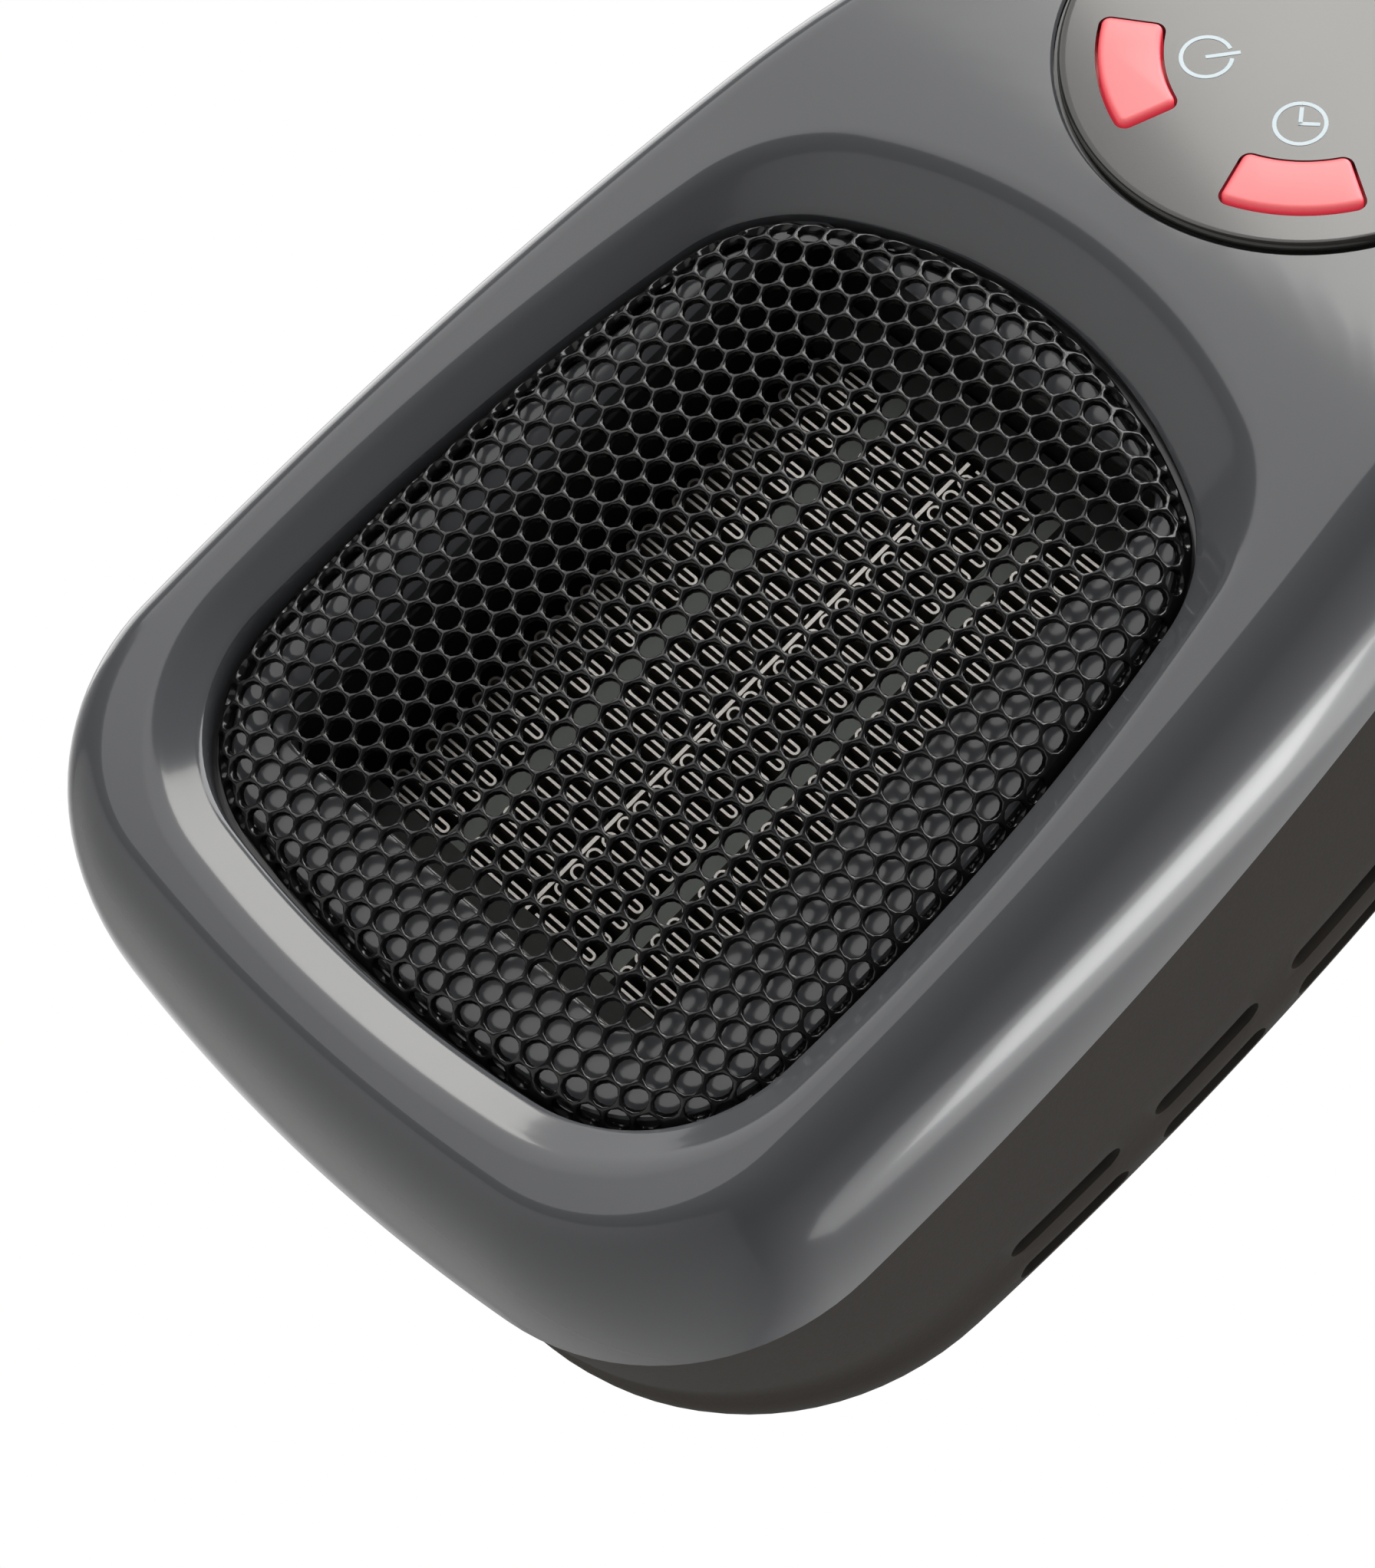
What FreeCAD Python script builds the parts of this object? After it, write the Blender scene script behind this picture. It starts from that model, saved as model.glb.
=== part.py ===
import FreeCAD, Part
import math
import os

import Sketcher
from FreeCAD import Placement, Rotation, Vector

# The origin is the middle of the plug's face. +Y points into the wall socket, +Z is up,
# and the heater's front faces -Y. Lengths are in millimetres and angles in degrees.
SIZES = {
    # Casing
    "body_depth": 68.0,
    "bezel_depth": 18.0,
    "body_half_width": 46.8,
    "body_rise": 62.0,
    "body_drop": 102.8,
    "widest_drop": 63.0,
    "side_radius": 455.0,
    "crown_radius": 60.0,
    "shoulder_radius": 36.0,
    "base_radius": 190.0,
    "corner_radius": 24.5,
    "bezel_draft": 9.0,
    "rim_round": 5.0,
    "back_round": 16.0,
    "back_inside_round": 15.0,
    "wall": 2.5,
    "parting_step": 0.3,
    "back_half_width": 40.6,
    "back_rise": 56.0,
    "back_drop": 95.9,
    "back_widest_drop": 29.8,
    "back_side_radius": 466.0,
    "back_crown_radius": 54.0,
    "back_shoulder_radius": 30.0,
    "back_base_radius": 184.0,
    "back_corner_radius": 34.2,
    # Tilted control face
    "panel_tilt": 9.5,
    "panel_bend_height": 2.3,
    "panel_bend_radius": 130.0,
    "panel_wall": 5.0,
    # Grille and the dish round it
    "heater_drop": 44.0,
    "grille_half_width": 33.8,
    "grille_rise": 39.3,
    "grille_fall": 44.0,
    "grille_widest": 19.3,
    "grille_side_radius": 238.0,
    "grille_crown_radius": 47.0,
    "grille_shoulder_radius": 15.0,
    "grille_base_radius": 124.0,
    "grille_corner_radius": 16.5,
    "grille_crown": 435.0,
    "grille_round": 3.0,
    "sheet": 0.8,
    "hole_pitch": 2.75,
    "hole_radius": 1.17,
    "hole_edge": 3.0,
    "dish_depth": 4.4,
    "dish_gap": 0.8,
    "dish_side": 6.2,
    "dish_top": 8.3,
    "dish_bottom": 5.8,
    "dish_round": 1.6,
    "floor_wall": 2.8,
    "window_corner": 3.0,
    # Control disc and buttons
    "disc_height": 30.1,
    "disc_radius": 22.6,
    "disc_groove": 0.6,
    "disc_wall": 2.0,
    "disc_ledge": 1.4,
    "button_inner": 13.3,
    "button_outer": 18.9,
    "button_half_span": 20.0,
    "button_angle": 51.5,
    "button_gap": 0.3,
    "button_proud": 0.7,
    "button_corner": 1.2,
    "button_crown": 0.6,
    "button_lip": 0.8,
    "button_lip_wall": 0.9,
    "button_stem_radius": 1.8,
    "button_stem": 0.7,
    "button_travel": 0.5,
    # Control board
    "board_wall": 1.6,
    "board_depth": 9.0,
    "board_edge_gap": 0.4,
    "post_radius": 1.9,
    "post_circle": 16.4,
    "switch_side": 6.0,
    "switch_plunger_radius": 1.6,
    "switch_plunger": 0.8,
    "board_screw_radius": 0.9,
    "board_screw_length": 5.0,
    "display_width": 18.0,
    "display_height": 10.0,
    "display_gap": 0.8,
    # Heater stack
    "heater_offset": 2.0,
    "heater_setback": 18.2,
    "heater_thickness": 12.0,
    "heater_length": 58.0,
    "strip_wall": 2.4,
    "divider_wall": 0.8,
    "fin_width": 8.2,
    "fin_sheet": 0.25,
    "fin_pitch": 1.0,
    "fin_gap": 0.05,
    "heater_side_gap": 4.0,
    "holder_height": 4.2,
    "tab_length": 9.0,
    "tab_width": 5.0,
    "tab_wall": 0.8,
    "tab_gap": 0.4,
    # Duct and fan
    "duct_wall": 2.0,
    "duct_gap": 0.3,
    "duct_run": 3.3,
    "ring_length": 14.5,
    "ear_setback": 6.0,
    "ear_side": 8.0,
    "ear_wall": 2.5,
    "ear_spread": 20.0,
    "fan_radius": 26.0,
    "fan_clearance": 1.2,
    "fan_setback": 1.0,
    "fan_depth": 11.0,
    "hub_radius": 8.0,
    "blade_wall": 1.2,
    "blade_root_reach": 4.0,
    "blade_tip_reach": 8.5,
    "blade_count": 7,
    "shaft_radius": 1.0,
    "shaft_gap": 0.04,
    "bracket_wall": 2.5,
    "bracket_arm": 5.0,
    "bracket_arms": 3,
    "bracket_hub": 11.0,
    "motor_radius": 11.5,
    "motor_length": 11.5,
    "motor_boss_radius": 3.0,
    "motor_boss_gap": 0.2,
    "shaft_end_gap": 0.5,
    "motor_screw_circle": 8.0,
    # Power board
    "power_board_setback": 48.0,
    "power_board_half_width": 33.0,
    "power_board_rise": 29.0,
    "power_board_fall": 10.0,
    "stud_radius": 2.6,
    "stud_low_reach": 30.5,
    "stud_low_height": -6.0,
    "stud_high_reach": 24.0,
    "stud_high_height": 26.0,
    "relay_offset": 20.0,
    "relay_drop": 2.0,
    "relay_width": 15.0,
    "relay_height": 19.0,
    "relay_depth": 15.0,
    "capacitor_width": 7.0,
    "capacitor_height": 17.0,
    "capacitor_depth": 13.0,
    "supply_width": 24.0,
    "supply_height": 14.0,
    "supply_depth": 12.0,
    "lead_radius": 0.9,
    "lead_bend": 8.0,
    "lead_rise": 6.0,
    "cutout_width": 14.0,
    "cutout_depth": 6.0,
    "cutout_height": 3.5,
    # Plug
    "plug_reach": 20.0,
    "plug_radius": 18.4,
    "plug_gap": 0.4,
    "plug_chamfer": 1.5,
    "flange_radius": 22.0,
    "flange_wall": 2.5,
    "flange_gap": 0.3,
    "key_width": 6.0,
    "key_depth": 3.5,
    "pin_radius": 2.4,
    "pin_length": 19.0,
    "pin_spacing": 19.0,
    "pin_round": 1.2,
    "pin_shank_radius": 2.0,
    "pin_gap": 0.05,
    "pin_recess": 0.5,
    "pin_recess_gap": 0.2,
    "contact_wall": 0.6,
    "contact_width": 3.5,
    "live_ring_radius": 13.0,
    "neutral_ring_radius": 3.0,
    "contact_tab": 4.0,
    "spring_wall": 0.4,
    "spring_width": 3.0,
    "spring_gap": 0.3,
    "spring_foot": 3.0,
    "retainer_wall": 2.0,
    "retainer_bore": 20.5,
    "retainer_boss": 2.6,
    "retainer_circle": 25.0,
    # Screws
    "screw_radius": 1.25,
    "screw_head_radius": 2.3,
    "screw_head": 1.6,
    "screw_length": 6.0,
    "screw_gap": 0.05,
    "screw_relief": 0.6,
    "case_screw_radius": 1.5,
    "case_screw_head_radius": 2.8,
    "case_screw_head": 2.0,
    "case_screw_length": 12.0,
    "case_boss_radius": 3.4,
    "case_tunnel_gap": 0.3,
    "tunnel_wall": 1.2,
    "case_joint_setback": 38.0,
    "case_seat": 4.0,
    "case_low_reach": 30.5,
    "case_low_height": -83.5,
    "case_high_reach": 19.5,
    "case_high_height": 46.5,
    # Side air slots
    "slot_length": 13.9,
    "slot_width": 2.4,
    "slot_end_round": 1.3,
    "slot_column_pitch": 18.5,
    "slot_row_pitch": 6.3,
    "slot_setback": 47.9,
    "slot_low_height": -56.6,
    "slot_columns": 5,
    "slot_rows": 2,
}

doc = FreeCAD.newDocument("plug_in_fan_heater")
sheet = doc.addObject("Spreadsheet::Sheet", "Sizes")
for row, (alias, number) in enumerate(SIZES.items(), start=1):
    sheet.set(f"A{row}", alias.replace("_", " "))
    sheet.set(f"B{row}", str(number))
    sheet.setAlias(f"B{row}", alias)
doc.recompute()


class Measure:
    """A size worked out from the sheet: its value, and the expression that keeps it."""

    def __init__(self, value, words):
        self.value = value
        self.words = words

    def __add__(self, other):
        return Measure(self.value + value(other), f"({self.words} + {words(other)})")

    def __radd__(self, other):
        return Measure(value(other) + self.value, f"({words(other)} + {self.words})")

    def __sub__(self, other):
        return Measure(self.value - value(other), f"({self.words} - {words(other)})")

    def __rsub__(self, other):
        return Measure(value(other) - self.value, f"({words(other)} - {self.words})")

    def __mul__(self, other):
        return Measure(self.value * value(other), f"({self.words} * {words(other)})")

    __rmul__ = __mul__

    def __truediv__(self, other):
        return Measure(self.value / value(other), f"({self.words} / {words(other)})")

    def __neg__(self):
        return Measure(-self.value, f"(-1 * {self.words})")


class Sheet:
    """Gives each cell of the sheet by its alias."""

    def __getattr__(self, alias):
        return Measure(float(sheet.get(alias)), f"Sizes.{alias}")


def value(measure):
    return measure.value if isinstance(measure, Measure) else measure


def words(measure):
    return measure.words if isinstance(measure, Measure) else repr(float(measure))


def sine(angle):
    return Measure(math.sin(math.radians(angle.value)), f"sin({angle.words})")


def cosine(angle):
    return Measure(math.cos(math.radians(angle.value)), f"cos({angle.words})")


def tangent(angle):
    return Measure(math.tan(math.radians(angle.value)), f"tan({angle.words})")


def root(square):
    return Measure(math.sqrt(square.value), f"sqrt({square.words})")


def bind(target, path, measure):
    """Ties one property of a feature to the sheet."""
    target.setExpression(path, words(measure))


class Outline:
    """Ten tangent arcs, mirrored about x = 0: crown, shoulders, sides, corners and base."""

    def __init__(self, top, bottom, widest, half_width, side, crown, shoulder, base, corner):
        self.top = top
        self.bottom = bottom
        self.widest = widest
        self.half_width = half_width
        self.side = side
        self.crown = crown
        self.shoulder = shoulder
        self.base = base
        self.corner = corner

    def grown(self, sides, above=None, below=None):
        """The outline moved out by one gap at its sides, and by others above and below."""
        above = sides if above is None else above
        below = sides if below is None else below
        return Outline(self.top + above, self.bottom - below, self.widest, self.half_width + sides,
                       self.side + sides, self.crown + sides, self.shoulder + sides,
                       self.base + sides, self.corner + sides)

    def inset(self, gap):
        return self.grown(-gap)

    def arcs(self):
        """Centre, radius, start and end of each arc, anticlockwise from the top."""
        side_centre = Vector(value(self.side - self.half_width), value(self.widest), 0)
        crown_centre = Vector(0, value(self.top - self.crown), 0)
        base_centre = Vector(0, value(self.bottom + self.base), 0)
        side, crown, base = value(self.side), value(self.crown), value(self.base)
        shoulder, corner = value(self.shoulder), value(self.corner)
        shoulder_centre = max(crossings(crown_centre, crown - shoulder, side_centre, side - shoulder),
                              key=lambda point: point.y)
        corner_centre = min(crossings(base_centre, base - corner, side_centre, side - corner),
                            key=lambda point: point.y)
        points = [
            Vector(0, value(self.top), 0),
            beyond(crown_centre, shoulder_centre, crown),
            beyond(side_centre, shoulder_centre, side),
            beyond(side_centre, corner_centre, side),
            beyond(base_centre, corner_centre, base),
            Vector(0, value(self.bottom), 0),
        ]
        centres = [crown_centre, shoulder_centre, side_centre, corner_centre, base_centre]
        radii = [crown, shoulder, side, corner, base]
        left = list(zip(centres, radii, points, points[1:]))
        right = [(flipped(c), r, flipped(end), flipped(start)) for c, r, start, end in reversed(left)]
        return left + right

    def face(self):
        """The flat face inside the outline, in the plane of its own two axes."""
        edges = [arc(*each).toShape() for each in self.arcs()]
        return Part.Face(Part.Wire(edges))


def flipped(point):
    return Vector(-point.x, point.y, 0)


def beyond(centre, through, radius):
    """The point of a circle on the ray from its centre through another point."""
    return centre + (through - centre).normalize() * radius


def crossings(first, first_radius, second, second_radius):
    """The two points where two circles cross."""
    gap = second - first
    along = (first_radius ** 2 - second_radius ** 2 + gap.Length ** 2) / (2 * gap.Length)
    across = math.sqrt(first_radius ** 2 - along ** 2)
    direction = Vector(gap).normalize()
    normal = Vector(-direction.y, direction.x, 0)
    middle = first + direction * along
    return middle + normal * across, middle - normal * across


def arc(centre, radius, start, end):
    """An anticlockwise arc of a circle."""
    first = math.atan2(start.y - centre.y, start.x - centre.x)
    last = math.atan2(end.y - centre.y, end.x - centre.x)
    if last < first:
        last += 2 * math.pi
    return Part.ArcOfCircle(Part.Circle(centre, Vector(0, 0, 1), radius), first, last)


START, END, CENTRE = 1, 2, 3
ORIGIN_POINT, HORIZONTAL_AXIS, VERTICAL_AXIS = -1, -1, -2


class Drawing:
    """A sketch on one of its body's own planes, with every point tied to the sheet."""

    def __init__(self, body, name, plane, offset=0.0):
        self.body = body
        self.sketch = body.newObject("Sketcher::SketchObject", name)
        support = [each for each in body.Origin.OriginFeatures if each.Role == plane]
        self.sketch.AttachmentSupport = [(support[0], "")]
        self.sketch.MapMode = "FlatFace"
        if isinstance(offset, Measure):
            bind(self.sketch, "AttachmentOffset.Base.z", offset)

    def rule(self, *terms):
        return self.sketch.addConstraint(Sketcher.Constraint(*terms))

    def distance(self, kind, geometry, point, measure):
        """Ties one coordinate of a point, measured from the sketch's origin."""
        if value(measure) == 0 and not isinstance(measure, Measure):
            axis = VERTICAL_AXIS if kind == "DistanceX" else HORIZONTAL_AXIS
            self.rule("PointOnObject", geometry, point, axis)
            return
        index = self.rule(kind, ORIGIN_POINT, START, geometry, point, value(measure))
        bind(self.sketch, f"Constraints[{index}]", measure)

    def lock(self, geometry, point, across, up):
        self.distance("DistanceX", geometry, point, across)
        self.distance("DistanceY", geometry, point, up)

    def radius(self, geometry, measure):
        index = self.rule("Radius", geometry, value(measure))
        bind(self.sketch, f"Constraints[{index}]", measure)

    def circle(self, across, up, radius):
        centre = Vector(value(across), value(up), 0)
        geometry = self.sketch.addGeometry(Part.Circle(centre, Vector(0, 0, 1), value(radius)), False)
        self.lock(geometry, CENTRE, across, up)
        self.radius(geometry, radius)

    def polygon(self, corners, bends=None, closed=True):
        """Straight runs between corners. A bend's run is an arc of that radius, negative for clockwise."""
        bends = bends or {}
        count = len(corners) if closed else len(corners) - 1
        points = [Vector(value(across), value(up), 0) for across, up in corners]
        runs = []
        for index in range(count):
            start, end = points[index], points[(index + 1) % len(points)]
            if index in bends:
                run = bent(start, end, value(bends[index]))
            else:
                run = Part.LineSegment(start, end)
            runs.append(self.sketch.addGeometry(run, False))
        firsts = []
        for index, geometry in enumerate(runs):
            clockwise = index in bends and value(bends[index]) < 0
            firsts.append((geometry, END if clockwise else START, START if clockwise else END))
        for index, (geometry, first, last) in enumerate(firsts):
            self.lock(geometry, first, *corners[index])
            if closed or index < count - 1:
                after, after_first, _ = firsts[(index + 1) % count]
                self.rule("Coincident", geometry, last, after, after_first)
            else:
                self.lock(geometry, last, *corners[index + 1])
            if index in bends:
                measure = bends[index]
                self.radius(geometry, -measure if value(measure) < 0 else measure)

    def outline(self, shape):
        """An Outline, with its left half tied to the sheet and its right half mirrored from it."""
        runs = [self.sketch.addGeometry(arc(*each), False) for each in shape.arcs()]
        half = len(runs) // 2
        for geometry in runs[:half - 1]:
            self.rule("Tangent", geometry, END, geometry + 1, START)
        for index in range(half - 1, len(runs)):
            self.rule("Coincident", runs[index], END, runs[(index + 1) % len(runs)], START)
        crown, shoulder, side, corner, base = runs[:half]
        self.distance("DistanceX", crown, START, 0)
        self.distance("DistanceY", crown, START, shape.top)
        self.distance("DistanceX", base, END, 0)
        self.distance("DistanceY", base, END, shape.bottom)
        self.distance("DistanceX", crown, CENTRE, 0)
        self.distance("DistanceX", base, CENTRE, 0)
        self.lock(side, CENTRE, shape.side - shape.half_width, shape.widest)
        for geometry, measure in zip(runs[:half], (shape.crown, shape.shoulder, shape.side,
                                                   shape.corner, shape.base)):
            self.radius(geometry, measure)
            self.rule("Equal", geometry, runs[-1 - geometry])
        for geometry in runs[:half - 1]:
            self.rule("Symmetric", geometry, END, runs[-2 - geometry], END, VERTICAL_AXIS)


def bent(start, end, radius):
    """The short arc from start to end, anticlockwise for a positive radius."""
    chord = end - start
    normal = Vector(-chord.y, chord.x, 0).normalize()
    height = math.sqrt(radius ** 2 - (chord.Length / 2) ** 2)
    centre = (start + end) * 0.5 + normal * math.copysign(height, radius)
    if radius > 0:
        return arc(centre, radius, start, end)
    return arc(centre, -radius, end, start)


def new_body(name):
    return doc.addObject("PartDesign::Body", name)


def extrude(kind, drawing, name, length, backward=False, both_ways=False):
    """A Pad or a Pocket of a drawing."""
    feature = drawing.body.newObject(f"PartDesign::{kind}", name)
    feature.Profile = drawing.sketch
    bind(feature, "Length", length)
    feature.Reversed = backward
    if both_ways:
        feature.SideType = "Symmetric"
    return feature


def loft(kind, body, name, first, second):
    """An AdditiveLoft or a SubtractiveLoft with straight sides between two outlines, each with its Y."""
    drawings = []
    back, front = sorted((first, second), key=lambda section: value(section[1]), reverse=True)
    for part, (shape, depth) in (("Back", back), ("Front", front)):
        drawing = Drawing(body, f"{name}{part}", "XZ_Plane", -depth)
        drawing.outline(shape)
        drawings.append(drawing)
    feature = body.newObject(f"PartDesign::{kind}", name)
    feature.Profile = drawings[0].sketch
    feature.Sections = [drawings[1].sketch]
    feature.Ruled = True
    return feature


def drafted(body, name, shape, start, end, length, draft):
    """A wall round an outline that leans in from its start to its end."""
    return loft("AdditiveLoft", body, name, (shape, start), (shape.inset(length * tangent(draft)), end))


def fillet(body, base, name, radius, chosen):
    """Rounds the edges of the base feature that pass a test."""
    doc.recompute()
    edges = [f"Edge{index}" for index, edge in enumerate(base.Shape.Edges, start=1) if chosen(edge)]
    feature = body.newObject("PartDesign::Fillet", name)
    feature.Base = (base, edges)
    bind(feature, "Radius", radius)
    return feature


def ends_of(edge):
    return [vertex.Point for vertex in edge.Vertexes]


def along(axis):
    """A test for straight edges that run along one axis."""
    def chosen(edge):
        if edge.Curve.TypeId != "Part::GeomLine":
            return False
        return abs(abs(edge.Curve.Direction.dot(axis)) - 1) < 1e-6
    return chosen


def level(axis, height):
    """A test for edges that lie at one height along an axis."""
    def chosen(edge):
        return all(abs(point.dot(axis) - height) < 1e-4 for point in ends_of(edge))
    return chosen


AXIS_X, AXIS_Y, AXIS_Z = Vector(1, 0, 0), Vector(0, 1, 0), Vector(0, 0, 1)
TURN_Z_TO_Y = Rotation(AXIS_X, -90)


def put(target, across, along_y, up):
    """Ties a placement's base to the sheet."""
    for letter, measure in zip("xyz", (across, along_y, up)):
        if isinstance(measure, Measure):
            bind(target, f"Placement.Base.{letter}", measure)


def slab(name, low, high):
    """A block between two corners."""
    block = doc.addObject("Part::Box", name)
    for path, start, end in zip(("Length", "Width", "Height"), low, high):
        bind(block, path, end - start)
    put(block, *low)
    return block


def rod(name, radius, across, up, start, end):
    """A round bar along Y."""
    bar = doc.addObject("Part::Cylinder", name)
    bar.Placement = Placement(Vector(0, 0, 0), TURN_Z_TO_Y)
    bind(bar, "Radius", radius)
    bind(bar, "Height", end - start)
    put(bar, across, start, up)
    return bar


def peg(name, radius, across, up, start, end):
    """A round bar along the control face's own outward axis."""
    bar = doc.addObject("Part::Cylinder", name)
    bind(bar, "Radius", radius)
    bind(bar, "Height", end - start)
    put(bar, across, up, start)
    return bar


def fuse(name, *shapes):
    joined = doc.addObject("Part::MultiFuse", name)
    joined.Shapes = list(shapes)
    return joined


def cut(name, base, *tools):
    result = doc.addObject("Part::Cut", name)
    result.Base = base
    result.Tool = tools[0] if len(tools) == 1 else fuse(f"{name}_tools", *tools)
    return result


def common(name, first, second):
    result = doc.addObject("Part::Common", name)
    result.Base = first
    result.Tool = second
    return result


def group(name, shapes):
    gathered = doc.addObject("Part::Compound", name)
    gathered.Links = list(shapes)
    return gathered


def tube(name, outer, inner, across, up, start, end):
    """A round sleeve along Y."""
    margin = size.wall
    return cut(name, rod(f"{name}_outer", outer, across, up, start, end),
               rod(f"{name}_bore", inner, across, up, start - margin, end + margin))


size = Sheet()
BACK = -size.plug_reach
FRONT = BACK - size.body_depth
PARTING = FRONT + size.bezel_depth
BACK_INSIDE = BACK - size.wall
FLOOR = FRONT + size.dish_depth
FLOOR_BACK = FLOOR + size.floor_wall
HEATER_X = -size.heater_offset
HEATER_Z = -size.heater_drop
MARGIN = size.wall * 4

BODY = Outline(size.body_rise, -size.body_drop, -size.widest_drop, size.body_half_width,
               size.side_radius, size.crown_radius, size.shoulder_radius,
               size.base_radius, size.corner_radius)
SHELL_BACK = Outline(size.back_rise, -size.back_drop, -size.back_widest_drop, size.back_half_width,
                     size.back_side_radius, size.back_crown_radius, size.back_shoulder_radius,
                     size.back_base_radius, size.back_corner_radius)
GRILLE = Outline(HEATER_Z + size.grille_rise, HEATER_Z - size.grille_fall, HEATER_Z - size.grille_widest,
                 size.grille_half_width, size.grille_side_radius, size.grille_crown_radius,
                 size.grille_shoulder_radius, size.grille_base_radius, size.grille_corner_radius)
DISH_FLOOR = GRILLE.grown(size.dish_gap)
DISH_EDGE = GRILLE.grown(size.dish_side, size.dish_top, size.dish_bottom)

# The control face leans back above the bend.
PANEL_Y = FRONT + (size.disc_height - size.panel_bend_height) * tangent(size.panel_tilt)
BEND_REACH = size.panel_bend_radius * tangent(size.panel_tilt / 2)


def panel_surface(height):
    """Y of the leaning face at a height."""
    return FRONT + (height - size.panel_bend_height) * tangent(size.panel_tilt)


def on_panel(piece):
    """Stands a piece that was drawn flat on the control face, at the middle of the disc."""
    piece.Placement = Placement(Vector(0, 0, 0), Rotation(AXIS_X, 90))
    bind(piece, "Placement.Rotation.Angle", 90 - size.panel_tilt)
    put(piece, 0, PANEL_Y, size.disc_height)
    return piece


def case_points():
    """Places of the four screws that join the casing, as (x, z)."""
    for reach, height in ((size.case_low_reach, size.case_low_height),
                          (size.case_high_reach, size.case_high_height)):
        yield -reach, height
        yield reach, height


def duct_points():
    """Places of the four screws that hold the duct, as (x, z)."""
    reach = DUCT_HALF_WIDTH + size.ear_side / 2
    for across in (HEATER_X - reach, HEATER_X + reach):
        for up in (HEATER_Z - size.ear_spread, HEATER_Z + size.ear_spread):
            yield across, up


def stud_points():
    """Places of the four studs that carry the power board, as (x, z)."""
    for reach, height in ((size.stud_low_reach, size.stud_low_height),
                          (size.stud_high_reach, size.stud_high_height)):
        yield -reach, height
        yield reach, height


def retainer_points():
    """Places of the three screws of the plug's retainer, as (x, z)."""
    for angle in (90, 210, 330):
        yield (size.retainer_circle * math.cos(math.radians(angle)),
               size.retainer_circle * math.sin(math.radians(angle)))


def post_points():
    """Places of the four posts under the control disc, in its own plane."""
    circle = size.post_circle
    return [(circle, 0), (-circle, 0), (0, circle), (0, -circle)]


def screws(name, points, seat, heads_behind, length, radius, head_radius, head):
    """A group of screws along Y, with their heads behind the seat or in front of it."""
    pieces = []
    if heads_behind:
        shank_span, head_span = (seat - length, seat), (seat, seat + head)
    else:
        shank_span, head_span = (seat, seat + length), (seat - head, seat)
    for index, (across, up) in enumerate(points, start=1):
        shank = rod(f"{name}_shank_{index}", radius, across, up, *shank_span)
        cap = rod(f"{name}_cap_{index}", head_radius, across, up, *head_span)
        pieces.append(fuse(f"{name}_{index}", shank, cap))
    return group(name, pieces)


STACK_HALF_WIDTH = size.fin_width * 2 + size.strip_wall + size.divider_wall / 2
WINDOW_HALF_WIDTH = STACK_HALF_WIDTH + size.heater_side_gap
WINDOW_HALF_HEIGHT = size.heater_length / 2 + size.holder_height + size.duct_gap
DUCT_HALF_WIDTH = WINDOW_HALF_WIDTH + size.duct_wall
DUCT_HALF_HEIGHT = WINDOW_HALF_HEIGHT + size.duct_wall
STACK_FRONT = FRONT + size.heater_setback
STACK_BACK = STACK_FRONT + size.heater_thickness
DUCT_END = STACK_BACK + size.duct_run
RING_START = DUCT_END + size.duct_wall
RING_END = RING_START + size.ring_length
RING_BORE = size.fan_radius + size.fan_clearance
RING_RADIUS = RING_BORE + size.duct_wall
EAR_FRONT = FLOOR_BACK + size.ear_setback
CASE_JOINT = FRONT + size.case_joint_setback
CASE_SEAT = CASE_JOINT + size.case_seat


def front_wedge(body):
    """The space in front of the leaning control face, taken off the bezel."""
    far = size.body_rise + MARGIN
    low_end = size.panel_bend_height - BEND_REACH
    high_end = size.panel_bend_height + BEND_REACH * cosine(size.panel_tilt)
    drawing = Drawing(body, "FrontWedge", "YZ_Plane")
    drawing.polygon([(FRONT, low_end), (FRONT + BEND_REACH * sine(size.panel_tilt), high_end),
                     (panel_surface(far), far), (FRONT - MARGIN, far), (FRONT - MARGIN, low_end)],
                    bends={0: -size.panel_bend_radius})
    return extrude("Pocket", drawing, "FrontWedgeCut", size.body_half_width * 2 + MARGIN, both_ways=True)


def front_height(point):
    """How far a point lies behind the bezel's front surface, before rounding."""
    bend, reach, tilt = value(size.panel_bend_height), value(BEND_REACH), value(size.panel_tilt)
    if point.z <= bend - reach:
        surface = value(FRONT)
    elif point.z >= bend + reach * math.cos(math.radians(tilt)):
        surface = value(FRONT) + (point.z - bend) * math.tan(math.radians(tilt))
    else:
        radius = value(size.panel_bend_radius)
        rise = point.z - (bend - reach)
        surface = value(FRONT) + radius - math.sqrt(radius ** 2 - rise ** 2)
    return point.y - surface


def on_front(edge):
    """A test for edges round the rim of the bezel's front surface."""
    if along(AXIS_X)(edge):
        return False
    points = edge.discretize(5)
    return all(abs(front_height(point)) < 1e-3 for point in points)


def round_dish(edge):
    """A test for edges where the dish meets the bezel's front surface."""
    if along(AXIS_X)(edge):
        return False
    return all(front_height(point) < value(size.dish_depth) / 2 and
               abs(point.x) < value(DISH_EDGE.half_width) + 0.2 and
               value(DISH_EDGE.bottom) - 0.2 < point.z < value(DISH_EDGE.top) + 0.2
               for point in edge.discretize(5))


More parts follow.
